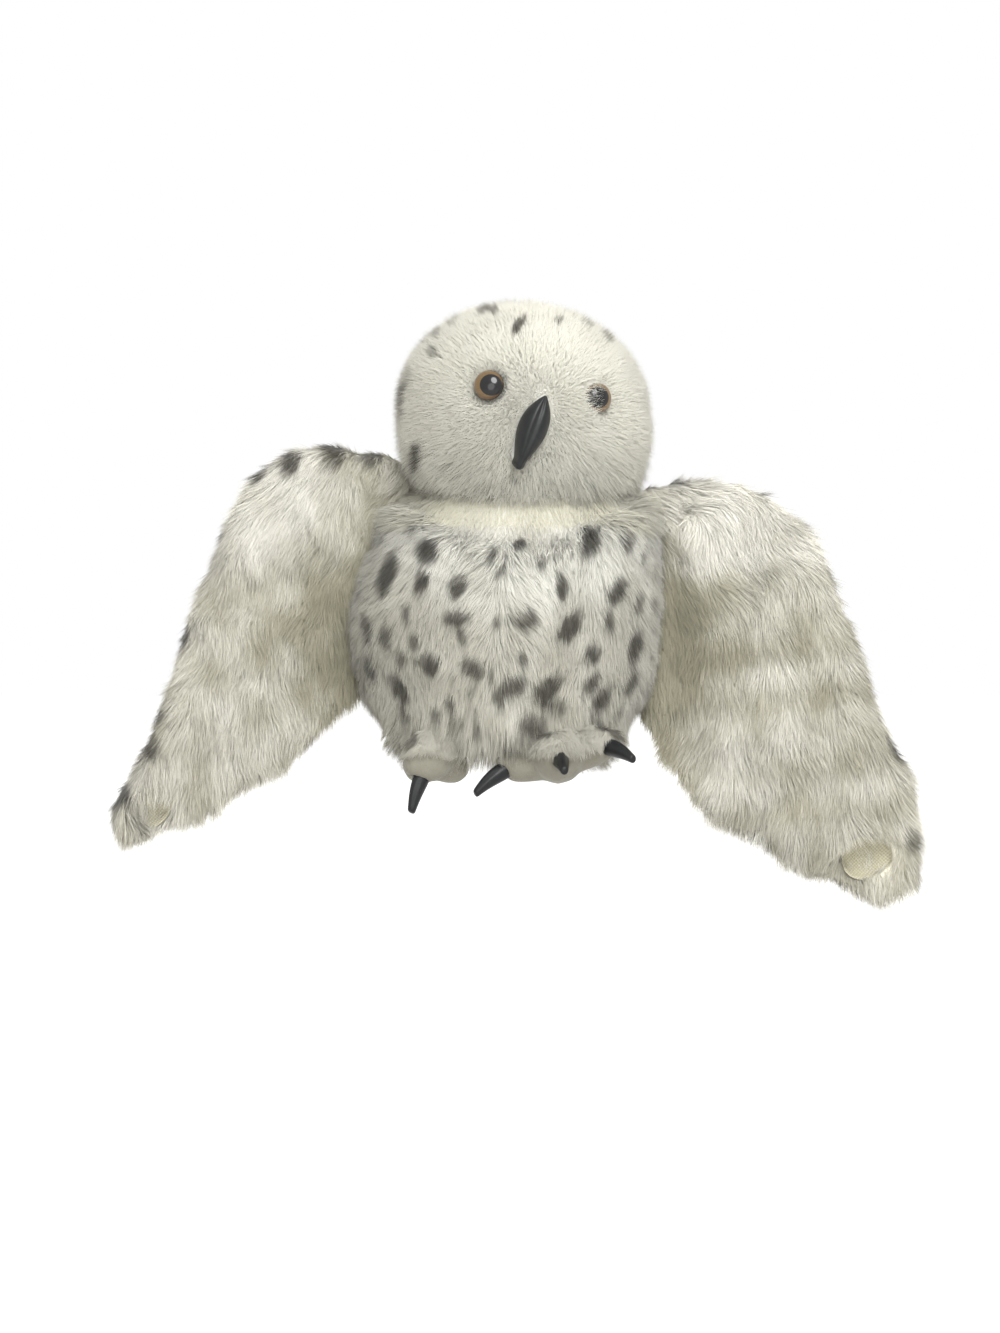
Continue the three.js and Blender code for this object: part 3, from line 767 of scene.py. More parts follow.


# %% [markdown]
# ## Printed spots
# The plush is printed with soft dark spots, longer than wide, that lean with the pile. Those on the
# front are listed in millimetres as seen from the front. The rest are spread by a seeded
# rule. On the round body and head a spot is measured along the skin, so that it keeps its shape
# near a side.

# %% Spots on the belly, (x, z, width, height, lean in degrees, strength)
belly_spots = [
    (-45.8, 125.4, 15.2, 6.3, 50, 1),
    (-60.8, 112.1, 3.2, 4.4, 0, 0.8),
    (-38.2, 105.7, 10.8, 12.7, 30, 1),
    (-61.1, 94.3, 9.5, 22.8, 12, 1),
    (-43.3, 89.2, 7.6, 13.9, 5, 1),
    (-24.3, 87.3, 8.2, 12, 20, 1),
    (-76.9, 83.5, 3.8, 5.7, -20, 0.45),
    (-6.2, 103.2, 4.1, 8.9, 10, 0.8),
    (-1.5, 96.2, 3.8, 10.1, 35, 0.8),
    (7.4, 109.5, 6.3, 6.3, 10, 0.9),
    (17.6, 99.4, 3.6, 7.6, -25, 0.8),
    (28.3, 87.3, 5.1, 13.9, -15, 1),
    (41.6, 110.2, 7.6, 17.8, 14, 1),
    (61.3, 114, 5.7, 17.8, 4, 0.85),
    (71.4, 114.6, 3.2, 6.3, 0, 0.6),
    (71.4, 101.9, 3.2, 7.6, 0, 0.7),
    (74, 95.6, 2.3, 6.3, 0, 0.5),
    (58.1, 84.8, 7.6, 16.5, 42, 1),
    (70.2, 78.5, 5.1, 11.4, 20, 0.8),
    (77.1, 76.6, 3.3, 7.6, 10, 0.7),
    (53.7, 69.6, 4.8, 11.4, -15, 0.9),
    (33.4, 67, 9.5, 18.4, 36, 1),
    (45.5, 53.1, 7.6, 10.1, 0, 1),
    (68.3, 55.6, 7, 19.7, 17, 1),
    (12.1, 70.2, 7.6, 11.4, 40, 1),
    (4.2, 70.8, 8.9, 3.3, -15, 0.7),
    (-4.6, 69.6, 4.6, 7, -20, 0.8),
    (-25.6, 71.5, 14.6, 7.6, 0, 1),
    (-22.4, 62.6, 4.4, 10.1, -15, 0.8),
    (-52.2, 73.4, 4.8, 9.5, -25, 0.8),
    (-72.5, 66.4, 4.8, 15.2, -20, 0.9),
    (-61.9, 61.3, 6.1, 12, -8, 0.9),
    (-47.5, 59.4, 5.7, 8.2, -10, 0.9),
    (-54.1, 50.6, 4.4, 10.8, -8, 0.8),
    (-38.9, 47.4, 8.9, 12, -25, 1),
    (-71.2, 44.2, 5.3, 13.3, -35, 0.9),
    (-54.7, 34.7, 7.4, 15.8, -28, 1),
    (-49.3, 21.4, 4.1, 10.8, -20, 0.9),
    (-16.7, 45.5, 8.2, 13.3, -50, 1),
    (-6.9, 43, 3.3, 7.6, 10, 0.8),
    (9.3, 50.6, 4.8, 7.6, 5, 0.9),
    (-27.5, 39.1, 2.5, 6.3, -10, 0.4),
    (-17.3, 32.8, 3.6, 5.7, -15, 0.7),
    (3, 35.3, 8.2, 17.8, 62, 1),
    (-3.4, 28.4, 4.4, 10.8, -35, 0.9),
    (21.4, 35.3, 9.5, 17.8, 50, 1),
    (24.5, 25.8, 11.4, 7, 10, 1),
    (44.8, 37.9, 6.3, 12, 40, 1),
    (49.9, 29, 8.2, 15.2, 35, 1),
    (65.7, 37.9, 5.7, 13.3, 25, 0.9),
    (55.6, 21.4, 4.8, 4.4, 0, 0.7),
    (40.4, 13.2, 8.2, 7.6, 30, 0.9),
    (11.8, 15.7, 12.7, 11.4, 0, 1),
    (-28.7, 27.1, 5.1, 7.6, -50, 0.9),
    (-33.4, 20.4, 7, 7.6, -30, 0.9),
    (-22.4, 15.4, 7.4, 7.4, 0, 0.9),
    (-12.9, 14.4, 3.3, 12.7, -5, 0.7),
    (-33.8, 8.1, 5.1, 10.1, -35, 0.8),
    (2.3, 3, 7.6, 5.1, 10, 0.5),
]
head_spots = [
    (-14.7, 233.9, 5.3, 7.9, 5, 0.9),
    (-9.1, 233.9, 4.7, 7.9, -5, 0.8),
    (6.7, 225.5, 4.7, 12.1, 18, 1),
    (29.8, 229.2, 4.7, 4, 0, 0.8),
    (47.1, 228.1, 4.2, 6.3, -20, 0.7),
    (57.6, 220.8, 5.3, 7.4, -30, 0.9),
    (-40.1, 221.8, 8.4, 5.8, 25, 0.6),
    (-32.7, 228.1, 7.4, 6.3, 25, 0.45),
    (-40.1, 210.3, 6.3, 6.3, 20, 0.6),
    (-59, 187.7, 5.3, 15.8, 8, 0.9),
    (-61.6, 179.3, 3.2, 8.4, 0, 0.8),
    (-54, 197, 8, 13, 15, 0.35),
    (-48.5, 153.5, 6.8, 13.6, 32, 1),
]

# %% How far a spot reaches


def soft_spots(across, up, spots, seed, points):
    """The darkest spot at each place, with ragged soft edges."""
    ragged = ripple(points, 5 * mm, seed)[:, 0] * 0.16
    result = np.zeros(len(across))
    for x, z, width, height, tilt, strength in spots:
        turn = math.radians(tilt)
        dx, dz = across - x, up - z
        long = (dz * math.cos(turn) + dx * math.sin(turn)) / (height / 2)
        wide = (dx * math.cos(turn) - dz * math.sin(turn)) / (width / 2)
        reach = np.sqrt(long**2 + wide**2) + ragged
        result = np.maximum(result, strength * (1 - smooth_step(0.88, 1.18, reach)))
    return result


def body_angle(points):
    """The angle round the body, 0 in front and positive to the viewer's right."""
    sideways = points[:, 0] - lean(points[:, 2])
    return np.arctan2(sideways, -points[:, 1] * belly_half[0] / belly_half[1])


def scattered(seed, columns, rows, left, right, low, high):
    """Spots in jittered rows, in millimetres."""
    rng = np.random.default_rng(seed)
    spots = []
    for row in range(rows):
        for column in range(columns):
            across = column + 0.5 * (row % 2) + rng.uniform(0.1, 0.75)
            x = left + (right - left) * across / columns
            z = low + (high - low) * (row + rng.uniform(0.15, 0.85)) / rows
            size = rng.uniform(4.5, 9), rng.uniform(8, 15)
            spots.append((x, z, *size, rng.uniform(-25, 25), rng.uniform(0.75, 1)))
    return spots


# %% Spots measured along the skin
body_radius, pile_reach = 76.0, 5.0  # pile_reach is how far a strand's tip stands off, in mm


def angle_of(share):
    """The angle with this sine, kept short of a quarter turn."""
    return math.asin(max(-0.97, min(0.97, share)))


front_spots = []
for x, z, width, height, tilt, strength in belly_spots:
    reach = half_width(z)
    angle = angle_of((x - float(lean(np.array(z * mm))) / mm) / (reach + pile_reach))
    stretch = min(1.7, 1 / math.cos(angle)) * body_radius / reach
    front_spots.append((angle * body_radius, z, width * stretch, height, tilt, strength))
back_spots = scattered(21, 9, 6, 1.62 * body_radius, 4.66 * body_radius, 6, 122)


def no_ink(points, normals):
    return np.zeros(len(points))


def belly_ink(points, normals):
    arc = body_angle(points) * body_radius
    up = points[:, 2] / mm
    front = soft_spots(arc, up, front_spots, 3, points)
    rear_arc = np.where(arc < 0, arc + 2 * math.pi * body_radius, arc)
    rear = soft_spots(rear_arc, up, back_spots, 4, points)
    return np.maximum(front, rear)


def to_head(points):
    """Points of the frame in the head's own frame, about its middle."""
    return (points - np.array(head_centre)) @ np.array(head_turn)


crown_spots = scattered(31, 10, 6, 0.0, 360.0, -50, 62)  # x is an azimuth in degrees
head_arc = 58.0  # the radius of the arc from the neck to the crown, in mm


def face_arcs(points):
    """Places on the head, measured along its skin to the viewer's right and up, in mm."""
    away = (points - np.array(head_centre)) / mm
    dome = np.where(away[:, 2] > 0, head_dome, head_radius)
    rise = np.arctan2(away[:, 2] / dome, np.hypot(away[:, 0], away[:, 1]) / head_radius)
    turn = np.arctan2(away[:, 0], -away[:, 1])
    return turn * head_radius * np.cos(rise), rise * head_arc


head_marks = []
for x, z, width, height, tilt, strength in head_spots:
    level = z - head_centre.z / mm
    rise = angle_of(level / ((head_dome if level > 0 else head_radius) + pile_reach))
    ring = head_radius * math.cos(rise)
    angle = angle_of((x - head_centre.x / mm) / (ring + pile_reach))
    width, height = width * min(1.6, 1 / math.cos(angle)), height * min(1.6, 1 / math.cos(rise))
    head_marks.append((angle * ring, rise * head_arc, width, height, tilt, strength))


def head_ink(points, normals):
    seen = soft_spots(*face_arcs(points), head_marks, 5, points)
    local = to_head(points) / mm
    angle = np.degrees(np.arctan2(local[:, 0], -local[:, 1])) % 360
    ring = np.maximum(np.hypot(local[:, 0], local[:, 1]), 15)
    behind = smooth_step(85, 100, np.minimum(angle, 360 - angle))
    result = np.zeros(len(points))
    ragged = ripple(points, 5 * mm, 6)[:, 0] * 0.16
    for turn, z, width, height, _, strength in crown_spots:
        gap = (angle - turn + 180) % 360 - 180
        reach = np.hypot(np.radians(gap) * ring / (width / 2), (local[:, 2] - z) / (height / 2))
        result = np.maximum(result, strength * (1 - smooth_step(0.75, 1.2, reach + ragged)))
    return np.maximum(seen, result * behind)


# %% [markdown]
# ## The body's fur
# The belly and the back are long spotted plush that hangs down and parts at the middle seam. Under
# the chin is a plain bib of short smooth pile. Where the long pile starts, it stands up and puffs
# over the bib's edge, which dips in the middle.

# %% Where the body's fur grows
body_corners, body_normals = surface_of(body_cover)
body_centres = body_corners.mean(1)
body_panels = ["belly_left", "belly_right", "back_left", "back_right", "neck_collar"]
body_panel = nearest_panels(body_centres, body_panels)
body_facing = unit(body_normals.mean(1))
body_shown = body_outer(body_centres, body_facing) > 0.3
collar_rim = (body_centres[:, 2] > 125 * mm) & (body_facing[:, 2] > 0.2)
head_gap = np.linalg.norm(body_centres - np.array(head_centre), axis=1)
body_shown = (body_shown | collar_rim) & (head_gap > (head_radius + 0.2) * mm)
stain(body_cover, belly_ink)

# %% How it lies


def belly_comb(points, normals):
    """Down, but parted to both sides of the middle seam and of the tuft at its top."""
    x, z = points[:, 0] / mm, points[:, 2] / mm
    front = points[:, 1] < 0
    down = np.zeros_like(points)
    down[:, 2] = -1.0
    seam = -5.0 + 0.055 * (z - 60)
    aside = np.clip((x - seam) / 9, -1, 1)
    near = bell(x, seam, 16) * smooth_step(16, 40, z) * smooth_step(108, 96, z)
    down[:, 0] += 0.55 * aside * near * front
    # Further out, the belly's pile flows in towards the bottom of the seam.
    inward = smooth_step(14, 45, np.abs(x - seam)) * smooth_step(100, 50, z)
    down[:, 0] -= 0.42 * np.sign(x - seam) * inward * front
    top = np.exp(-(((x + 2) / 20) ** 2 + ((z - 97) / 12) ** 2)) * front
    down[:, 0] += 0.6 * np.clip((x + 2) / 10, -1, 1) * top
    return down + 0.26 * ripple(points, 34 * mm, 11) + 0.14 * ripple(points, 9 * mm, 12)


def fringe_share(points):
    """1 at the belly's lower edge, where the pile hangs straight down over the toes."""
    return smooth_step(38, 20, points[:, 2] / mm) * smooth_step(0, -20 * mm, points[:, 1])


def over_foot(points):
    """1 above a foot, where the pile drapes forward over the toes."""
    x = points[:, 0] / mm
    share = np.maximum(smooth_step(36, 24, np.abs(x - 27)), smooth_step(26, 14, np.abs(x + 37)))
    return share * fringe_share(points)


def belly_length(points):
    below = below_bib(points)
    long = smooth_step(-3, 3, below)
    puff = bell(below, 4, 9) * (points[:, 1] < 0)
    length = 6.0 + long * (7.5 + 1.5 * puff + 3.5 * fringe_share(points) + 5.5 * over_foot(points))
    # At the shoulders it is longer and fills the corner between the cheek and the wing.
    aside, up = np.abs(points[:, 0] / mm - 9), points[:, 2] / mm
    corner = smooth_step(30, 44, aside) * smooth_step(116, 128, up)
    return (length + 3.5 * corner) * mm


def belly_lift(points):
    below = below_bib(points)
    puff = bell(below, 2, 8) * (points[:, 1] < 0)
    lift = 0.46 + 0.26 * puff - 0.1 * smooth_step(3, -3, below)
    return lift + 0.1 * ripple(points, 18 * mm, 13)[:, 0]


# %% Growing the body's fur


def body_fur(name, panel, seed, spacing, ink=belly_ink, **look):
    chosen = body_shown & (body_panel == body_panels.index(panel))
    root, normal = roots_on(body_corners[chosen], body_normals[chosen], spacing * mm, seed)
    comb = belly_comb(root, normal)
    # Towards the hem the front turns away from the light. Just under the bib the pile gets painted
    # light, and elsewhere painted shade.
    tilt = -0.35 * smooth_step(45, 5, root[:, 2] / mm)
    look["facing"] = unit(normal + np.outer(tilt * (root[:, 1] < 10 * mm), (0, 0, 1)))
    look["shade"] = 0.58 - 0.95 * bell(below_bib(root), 12, 20)
    # The fringe falls straight down, and further out over a foot.
    outward = 0.35 + 0.8 * over_foot(root)[:, None]
    fall = unit(unit(normal * (1, 1, 0)) * outward + (0, 0, -1))
    look["hang"] = (0.85 * fringe_share(root), fall)
    return grow(name, root, normal, comb, belly_length(root), belly_lift(root), ink, seed, **look)


body_furs = {
    panel: body_fur(f"{panel}_fur", panel, 100 + index, spacing, ruffle=0.2, width=0.2)
    for index, (panel, spacing) in enumerate(zip(body_panels, (0.6, 0.6, 0.72, 0.72)))
}
body_furs["neck_collar"] = body_fur(
    "collar_fur", "neck_collar", 110, 0.72, no_ink, tuft=2.5, pull=0.25
)

# %% [markdown]
# ## The head's fur
# The head's pile is short, dense and even, so its outline is smooth. It runs outwards from a point
# between the eyes, leaves the eyes and the beak free, and one eye is half hidden by strands that
# grow across it, as in the photograph. At the neck it is longer and fills the cheeks.

# %% Places on the face
eye_radius, eye_seat = 7.6, 1.4
beak_length, beak_slant = 40.0, math.radians(15)


def face_place(azimuth, height, depth):
    """A place on the head's front in its own frame, and the way it faces; millimetres, radians."""
    top = head_dome if height > 0 else head_radius
    ring = head_radius * math.sqrt(1 - (height / top) ** 2)
    spot = Vector((ring * math.sin(azimuth), -ring * math.cos(azimuth), height))
    facing = Vector((spot.x / head_radius**2, spot.y / head_radius**2, spot.z / top**2))
    facing.normalize()
    return (spot - facing * depth) * mm, facing


eye_places = {
    side: face_place(sign * math.radians(27), 9.0, eye_seat)
    for side, sign in (("left", -1), ("right", 1))
}
beak_azimuth = -((beak_length / 2) * math.sin(beak_slant)) / head_radius
beak_middle, beak_facing = face_place(beak_azimuth, 8.0 - beak_length / 2, 1.0)
beak_matrix = (
    head_matrix
    @ Matrix.Translation(beak_middle)
    @ Matrix.Rotation(beak_azimuth, 4, "Z")
    @ Matrix.Rotation(-math.asin(beak_facing.z), 4, "X")
    @ Matrix.Rotation(beak_slant, 4, "Y")
)

# %% Where the head's fur grows
head_corners, head_normals = surface_of(head_cover)
head_centres = head_corners.mean(1)
head_panel = nearest_panels(head_centres, head_panels)
head_shown = head_outer(head_centres, unit(head_normals.mean(1))) > 0.5
head_shown &= head_centres[:, 2] > 129 * mm
stain(head_cover, head_ink)
far = 99  # added in mm to the gap of a point on the other side of the head


def beak_gap(points, half):
    """How far each point is from the beak's outline, in mm, and its place along the beak."""
    local = (points - np.array(beak_matrix.translation)) @ np.array(beak_matrix.to_3x3()) / mm
    outline = 7.4 * np.sqrt(np.clip(1 - ((local[:, 2] + 1) / half) ** 2, 0, 1))
    return np.abs(local[:, 0]) - outline + far * (local[:, 1] > 30), local[:, 2]


def eye_gap(points, side):
    """The way from the eye's middle to each point, across the face in the head's frame, in mm."""
    spot, facing = eye_places[side]
    away = (to_head(points) - np.array(spot)) / mm
    depth = away @ np.array(facing)
    return away - np.outer(depth, facing) + far * (depth < -30)[:, None]


# %% Growing the head's fur
to_frame = np.array(head_turn).T
head_look = {
    "tuft": 2.0,
    "pull": 0.12,
    "spread": 0.55,
    "ruffle": 0.28,
    "shortest": 0.75,
    "width": 0.18,
}
# The pile runs out from here, in the head's own frame, in mm.
face_middle = (2, -head_radius, 4)


def beside_eye(away, reach):
    """1 at an eye's rim, less further out, as a column."""
    return bell(np.linalg.norm(away, axis=1), eye_radius, reach)[:, None]


def head_fur(name, panel, seed, spacing):
    chosen = head_shown & (head_panel == head_panels.index(panel))
    root, normal = roots_on(head_corners[chosen], head_normals[chosen], spacing * mm, seed)
    free = beak_gap(root, 20.5)[0] > -1.2
    for side in ("left", "right"):
        free &= np.linalg.norm(eye_gap(root, side), axis=1) > eye_radius - 1.8
    root, normal = root[free], normal[free]
    if panel == "head_face":
        # The pile is thicker beside the eye that it half hides.
        beside = eye_gap(root, "right")
        ring = np.linalg.norm(beside, axis=1)
        extra = (ring < eye_radius + 2.5) & (beside[:, 0] < -1.5)
        shift = 0.35 * mm * np.random.default_rng(seed + 3).normal(size=(extra.sum(), 3))
        root = np.concatenate([root, root[extra] + shift])
        normal = np.concatenate([normal, normal[extra]])
    local = to_head(root) / mm

    front = smooth_step(0.1, 0.75, -normal[:, 1])
    radial = unit(root - np.array(head_matrix @ (Vector(face_middle) * mm)))
    down = np.array([(0, 0.2, -1.0)])
    comb = radial * front[:, None] + (down + 0.3 * radial) * (1 - front[:, None])
    comb = comb + 0.22 * ripple(root, 26 * mm, 41) + 0.15 * ripple(root, 8 * mm, 42)
    between = bell(np.linalg.norm(local - face_middle, axis=1), 0, 26)
    length = 8.0 + 1.0 * (1 - front) - 1.8 * between
    lift = 0.85 + 0.28 * front + 0.08 * ripple(root, 14 * mm, 43)[:, 0]
    cheek = smooth_step(-8, -36, local[:, 2])
    length = length + (4.5 + 3.0 * (local[:, 0] > 20)) * cheek
    lift = lift + 0.1 * cheek * (1 - front)

    # Strands beside the open eye are short and lean away from it.
    away = eye_gap(root, "left")
    near = beside_eye(away, 4.0)
    comb = comb * (1 - near) + near * unit(away @ to_frame)
    length = length * (1 - 0.35 * near[:, 0])
    # Most strands beside the other eye lean across it from the middle of the face.
    away = eye_gap(root, "right")
    near = beside_eye(away, 5.0)
    over = away[:, 0] < -1.5
    leaning = np.where(over[:, None], unit(-away @ to_frame), unit(away @ to_frame))
    comb = comb * (1 - near) + near * leaning
    length = length * np.where(over, 1 + 0.6 * near[:, 0], 1 - 0.4 * near[:, 0])
    lift = lift - np.where(over, 0.35 * near[:, 0], 0)
    # Strands beside the beak are short and leave it free.
    gap, along = beak_gap(root, 22)
    length = length * (1 - 0.45 * bell(gap, 0, 3.5) * (np.abs(along) < 23))
    return grow(name, root, normal, comb, length * mm, lift, head_ink, seed, **head_look)


head_furs = {
    "head_face": head_fur("face_fur", "head_face", 200, 0.5),
    "head_left": head_fur("head_left_fur", "head_left", 201, 0.61),
    "head_right": head_fur("head_right_fur", "head_right", 202, 0.61),
}

# %% [markdown]
# ## The wings' fur
# The inner face is long cream plush that flows from the shoulder to the tip and spreads to both
# edges. The outer face is spotted, and wraps the leading edge, where its spots show from the front.

# %% The lie of the wings' fur
wing_axes = {
    "left": [(-66, 118), (-112, 100), (-145, 52), (-172, 2), (-204, -48)],
    "right": [(70, 112), (118, 96), (150, 48), (176, -10), (204, -78)],
}
# Spots on the wings' edges: (x, z, width, height, lean in degrees, strength)
wing_spots = {
    "left": [
        (-91.5, 157.5, 20.8, 12, 70, 1),
        (-112.8, 151.4, 12, 14, 0, 1),
        (-130.5, 146.8, 10, 13, 40, 1),
        (-70.2, 154.6, 12, 12, 0, 0.8),
        (-152.4, 114.9, 9, 11, 20, 1),
        (-159.6, 94.1, 8, 9, 20, 0.6),
        (-170.5, 59.8, 11, 10, 0, 1),
        (-183, 20.8, 12, 9, 40, 1),
        (-186.2, 4.2, 16, 9, 62, 1),
        (-202.3, -22.4, 13, 16, 30, 1),
    ],
    "right": [
        (140.9, 137, 9.4, 9, 0, 0.6),
        (153.4, 127, 8, 8, 0, 0.5),
        (173.5, 91, 6, 14, -15, 0.5),
        (181, 74.4, 6, 10, -15, 0.5),
        (197, 39, 6, 11, -15, 0.5),
        (208, 1.6, 12, 11, -35, 1),
        (214.2, -46.8, 11, 8, -60, 0.9),
        (219, -70.2, 8, 16, 0, 0.6),
    ],
}
wing_sign = {"left": -1, "right": 1}
# How far apart strands stand on the inner and the outer face, in mm, and each wing's painted shade.
wing_spacing = {"left": (0.63, 0.74), "right": (0.68, 0.74)}
wing_shade = {"left": 0.1, "right": 0.2}
# Each pocket's middle as x and z in mm, and its turn; its mouth's half width and half height.
pockets = {"left": (-185.0, -25.0, 0.6), "right": (189.0, -53.0, 0.0)}
pocket_half = (13.5, 11.0)
# How open it is. Then how wide the rim of trimmed pile is, as a share, and how much shorter that
# pile is below the mouth and above it; the left one's is longer instead, so it covers the mouth.
pocket_open = {"left": 0.62, "right": 0.98}
pocket_rims = {"left": (0.3, -0.1, -0.6), "right": (0.45, 0.5, 0.85)}
# Where the wadding swells or sinks, seen from the front: (x, z, reach, height), in mm. The pile on
# a swelling gets painted light. That in a hollow gets painted shade, and faces down.
billows = {
    "left": [(-85, 142, 34, 0.9), (-125, 132, 34, 0.7), (-92, 74, 40, -0.8), (-125, 20, 40, 0.2)],
    "right": [(88, 132, 32, 1.1), (125, 122, 34, 1.0), (88, 66, 36, -0.9), (112, 4, 34, 0.5)],
}


def billow(points, side):
    """How much the wadding swells at each point, below 0 in a hollow."""
    total = np.zeros(len(points))
    for x, z, reach, height in billows[side]:
        gap = (points[:, 0] / mm - x) ** 2 + (points[:, 2] / mm - z) ** 2
        total += height * np.exp(-gap / reach**2)
    return total


def wing_comb(root, side):
    """Along the wing's middle line to the tip, and spread towards both edges."""
    line = np.array(wing_axes[side], float) * mm
    flat = root[:, [0, 2]]
    heading, offset, total = np.zeros_like(flat), np.zeros(len(root)), np.zeros(len(root))
    for start, end in zip(line[:-1], line[1:]):
        ahead = (end - start) / np.linalg.norm(end - start)
        weight = 1 / (np.linalg.norm(flat - (start + end) / 2, axis=1) + 4 * mm) ** 3
        heading += ahead * weight[:, None]
        offset += weight * ((flat - start) @ np.array((-ahead[1], ahead[0])))
        total += weight
    heading = unit(heading)
    offset = np.clip(offset / total / (45 * mm), -1.3, 1.3)
    sideways = np.stack([-heading[:, 1], heading[:, 0]], 1)
    flat = 0.6 * heading + sideways * offset[:, None] * 0.35
    comb = np.zeros_like(root)
    comb[:, 0], comb[:, 2] = flat[:, 0], flat[:, 1] - 0.75
    return comb


def pocket_gap(points, side):
    """The distance from a pocket's middle, where 1 is its rim, and the height above it in mm."""
    x, z, turn = pockets[side]
    across, up = points[:, 0] / mm - x, points[:, 2] / mm - z
    along = across * math.cos(turn) + up * math.sin(turn)
    rise = up * math.cos(turn) - across * math.sin(turn)
    return np.hypot(along / pocket_half[0], rise / pocket_half[1]), rise


# %% Growing the wings' fur


def wing_ink(side, face):
    """The spots of the inner face, 0, or of the outer face, 1."""
    outer_spots = scattered(60 + wing_sign[side], 7, 10, 90, 225, -75, 160)
    outer_spots = [(wing_sign[side] * spot[0], *spot[1:]) for spot in outer_spots]
    # They keep clear of the wing's edge, which has its own spots.
    skin = wing_skins[side].data
    rim = points_of(skin)[np.abs(normals_of(skin)[:, 1]) < 0.5][:, [0, 2]] / mm
    outer_spots = [
        spot
        for spot in outer_spots
        if np.linalg.norm(rim - np.array(spot[:2]), axis=1).min() > 11
    ]

    def ink(points, normals):
        across, up = points[:, 0] / mm, points[:, 2] / mm
        edge = soft_spots(across, up, wing_spots[side], 7, points)
        if face == 0:
            return edge
        rear = smooth_step(0.75, 0.96, normals[:, 1])
        back = soft_spots(across, up, outer_spots, 8, points)
        return np.maximum(edge * (1 - 0.3 * rear), back * rear)

    return ink


def wing_fur(side, face):
    corners, normals = surface_of(wing_skins[side])
    centres = corners.mean(1)
    panel = nearest_panels(centres, [f"wing_inner_{side}", f"wing_outer_{side}"])
    shoulder = centres[:, 2] > 118 * mm
    chosen = (wing_sign[side] * centres[:, 0] > 52 * mm) | shoulder
    chosen &= panel == face
    seed = 300 + 10 * face + (side == "right")
    spacing = wing_spacing[side][face] * mm
    root, normal = roots_on(corners[chosen], normals[chosen], spacing, seed)
    gap, rise = pocket_gap(root, side)
    free = (gap > pocket_open[side]) | (face == 1)
    root, normal, gap, rise = root[free], normal[free], gap[free], rise[free]
    comb = wing_comb(root, side)
    wave = 0.45 if face == 0 else 0.2
    comb = comb + wave * ripple(root, 38 * mm, seed + 1) + 0.2 * ripple(root, 12 * mm, seed + 2)
    length = np.full(len(root), 17.0 if face == 0 else 13.0)
    if face == 0:
        rim, below, above = pocket_rims[side]
        length = length * (1 - np.where(rise < 0, below, above) * bell(gap, 0.95, rim))
    edge = 1 - np.abs(normal[:, 1])
    out = wing_sign[side] * root[:, 0] / mm
    length = length * (1 - 0.35 * edge) * (1 - 0.3 * smooth_step(90, 70, out))
    hollow = wing_folds(root)
    lift = 0.36 + 0.1 * ripple(root, 16 * mm, seed + 3)[:, 0] + 0.08 * hollow
    # Painted shade darkens and yellows the pile by a set amount on each wing, and more in the
    # hollows and towards the body. Painted light makes it paler on a swelling.
    swell = billow(root, side)
    shade = wing_shade[side] - 0.55 * swell
    shade += 0.1 * smooth_step(0.3, -1.0, hollow) + 0.45 * smooth_step(115, 80, out)
    look = {"tuft": 6.0, "pull": 0.28, "width": 0.22, "shade": shade, "ruffle": 0.2}
    # The end at the root is lit like the front, because it is tucked into the body's pile.
    tucked = smooth_step(74, 60, out)[:, None]
    facing = normal * (1 - 0.8 * tucked) + tucked * (0, -0.8 if face == 0 else 0.8, 0.3)
    facing[:, 2] += 0.5 * np.minimum(swell, 0)
    look["facing"] = unit(facing)
    name = f"wing_{('inner', 'outer')[face]}_{side}_fur"
    ink = wing_ink(side, face)
    return grow(name, root, normal, comb, length * mm, lift, ink, seed, **look)


wing_furs = {(side, face): wing_fur(side, face) for side in ("left", "right") for face in (0, 1)}
furs = [*body_furs.values(), *head_furs.values(), *wing_furs.values()]
print("strands in all:", sum(len(fur.data.vertices) for fur in furs) // 4)

# %% [markdown]
# ## Hard parts from stacked rings
# The eyes, the beak and the claws are moulded plastic. Each is nearly round across its length, so
# one helper serves them all: a circle is extruded from ring to ring, and each ring is resized and
# shifted. Grooves and flats are then made by moving chosen vertices, before the surface is refined.

# %% A circle extruded through rings


def stacked(name, sides, rings, closed=True):
    """Rings are (height, half width, half depth, forward shift), in mm."""
    height, wide, deep, shift = rings[0]
    fill = "NGON" if closed else "NOTHING"
    bpy.ops.mesh.primitive_circle_add(vertices=sides, radius=mm, fill_type=fill)
    obj = named(name)
    with editing(obj):
        bpy.ops.transform.resize(value=(wide, deep, 1), center_override=(0, 0, 0))
        bpy.ops.transform.translate(value=(0, -shift * mm, height * mm))
        for ring in rings[1:]:
            move = (0, (shift - ring[3]) * mm, (ring[0] - height) * mm)
            bpy.ops.mesh.extrude_region_move(TRANSFORM_OT_translate={"value": move})
            centre = (0, -ring[3] * mm, ring[0] * mm)
            size = (ring[1] / wide, ring[2] / deep, 1)
            bpy.ops.transform.resize(value=size, center_override=centre)
            height, wide, deep, shift = ring
        bpy.ops.mesh.select_all(action="SELECT")
        bpy.ops.mesh.normals_make_consistent(inside=False)
    return obj


def round_rings(*pairs):
    """Rings that are round and not shifted, from pairs of a height and a radius."""
    return [(height, radius, radius, 0) for height, radius in pairs]


# %% Changing chosen vertices


def shift_where(obj, test, move):
    """Moves the vertices that pass the test, in mm."""
    with editing(obj):
        select_where(obj, test)
        bpy.ops.transform.translate(value=tuple(mm * part for part in move))


def resize_where(obj, test, scale):
    """Draws the vertices that pass the test towards the origin, or away from it."""
    with editing(obj):
        select_where(obj, test)
        bpy.ops.transform.resize(value=scale, center_override=(0, 0, 0))


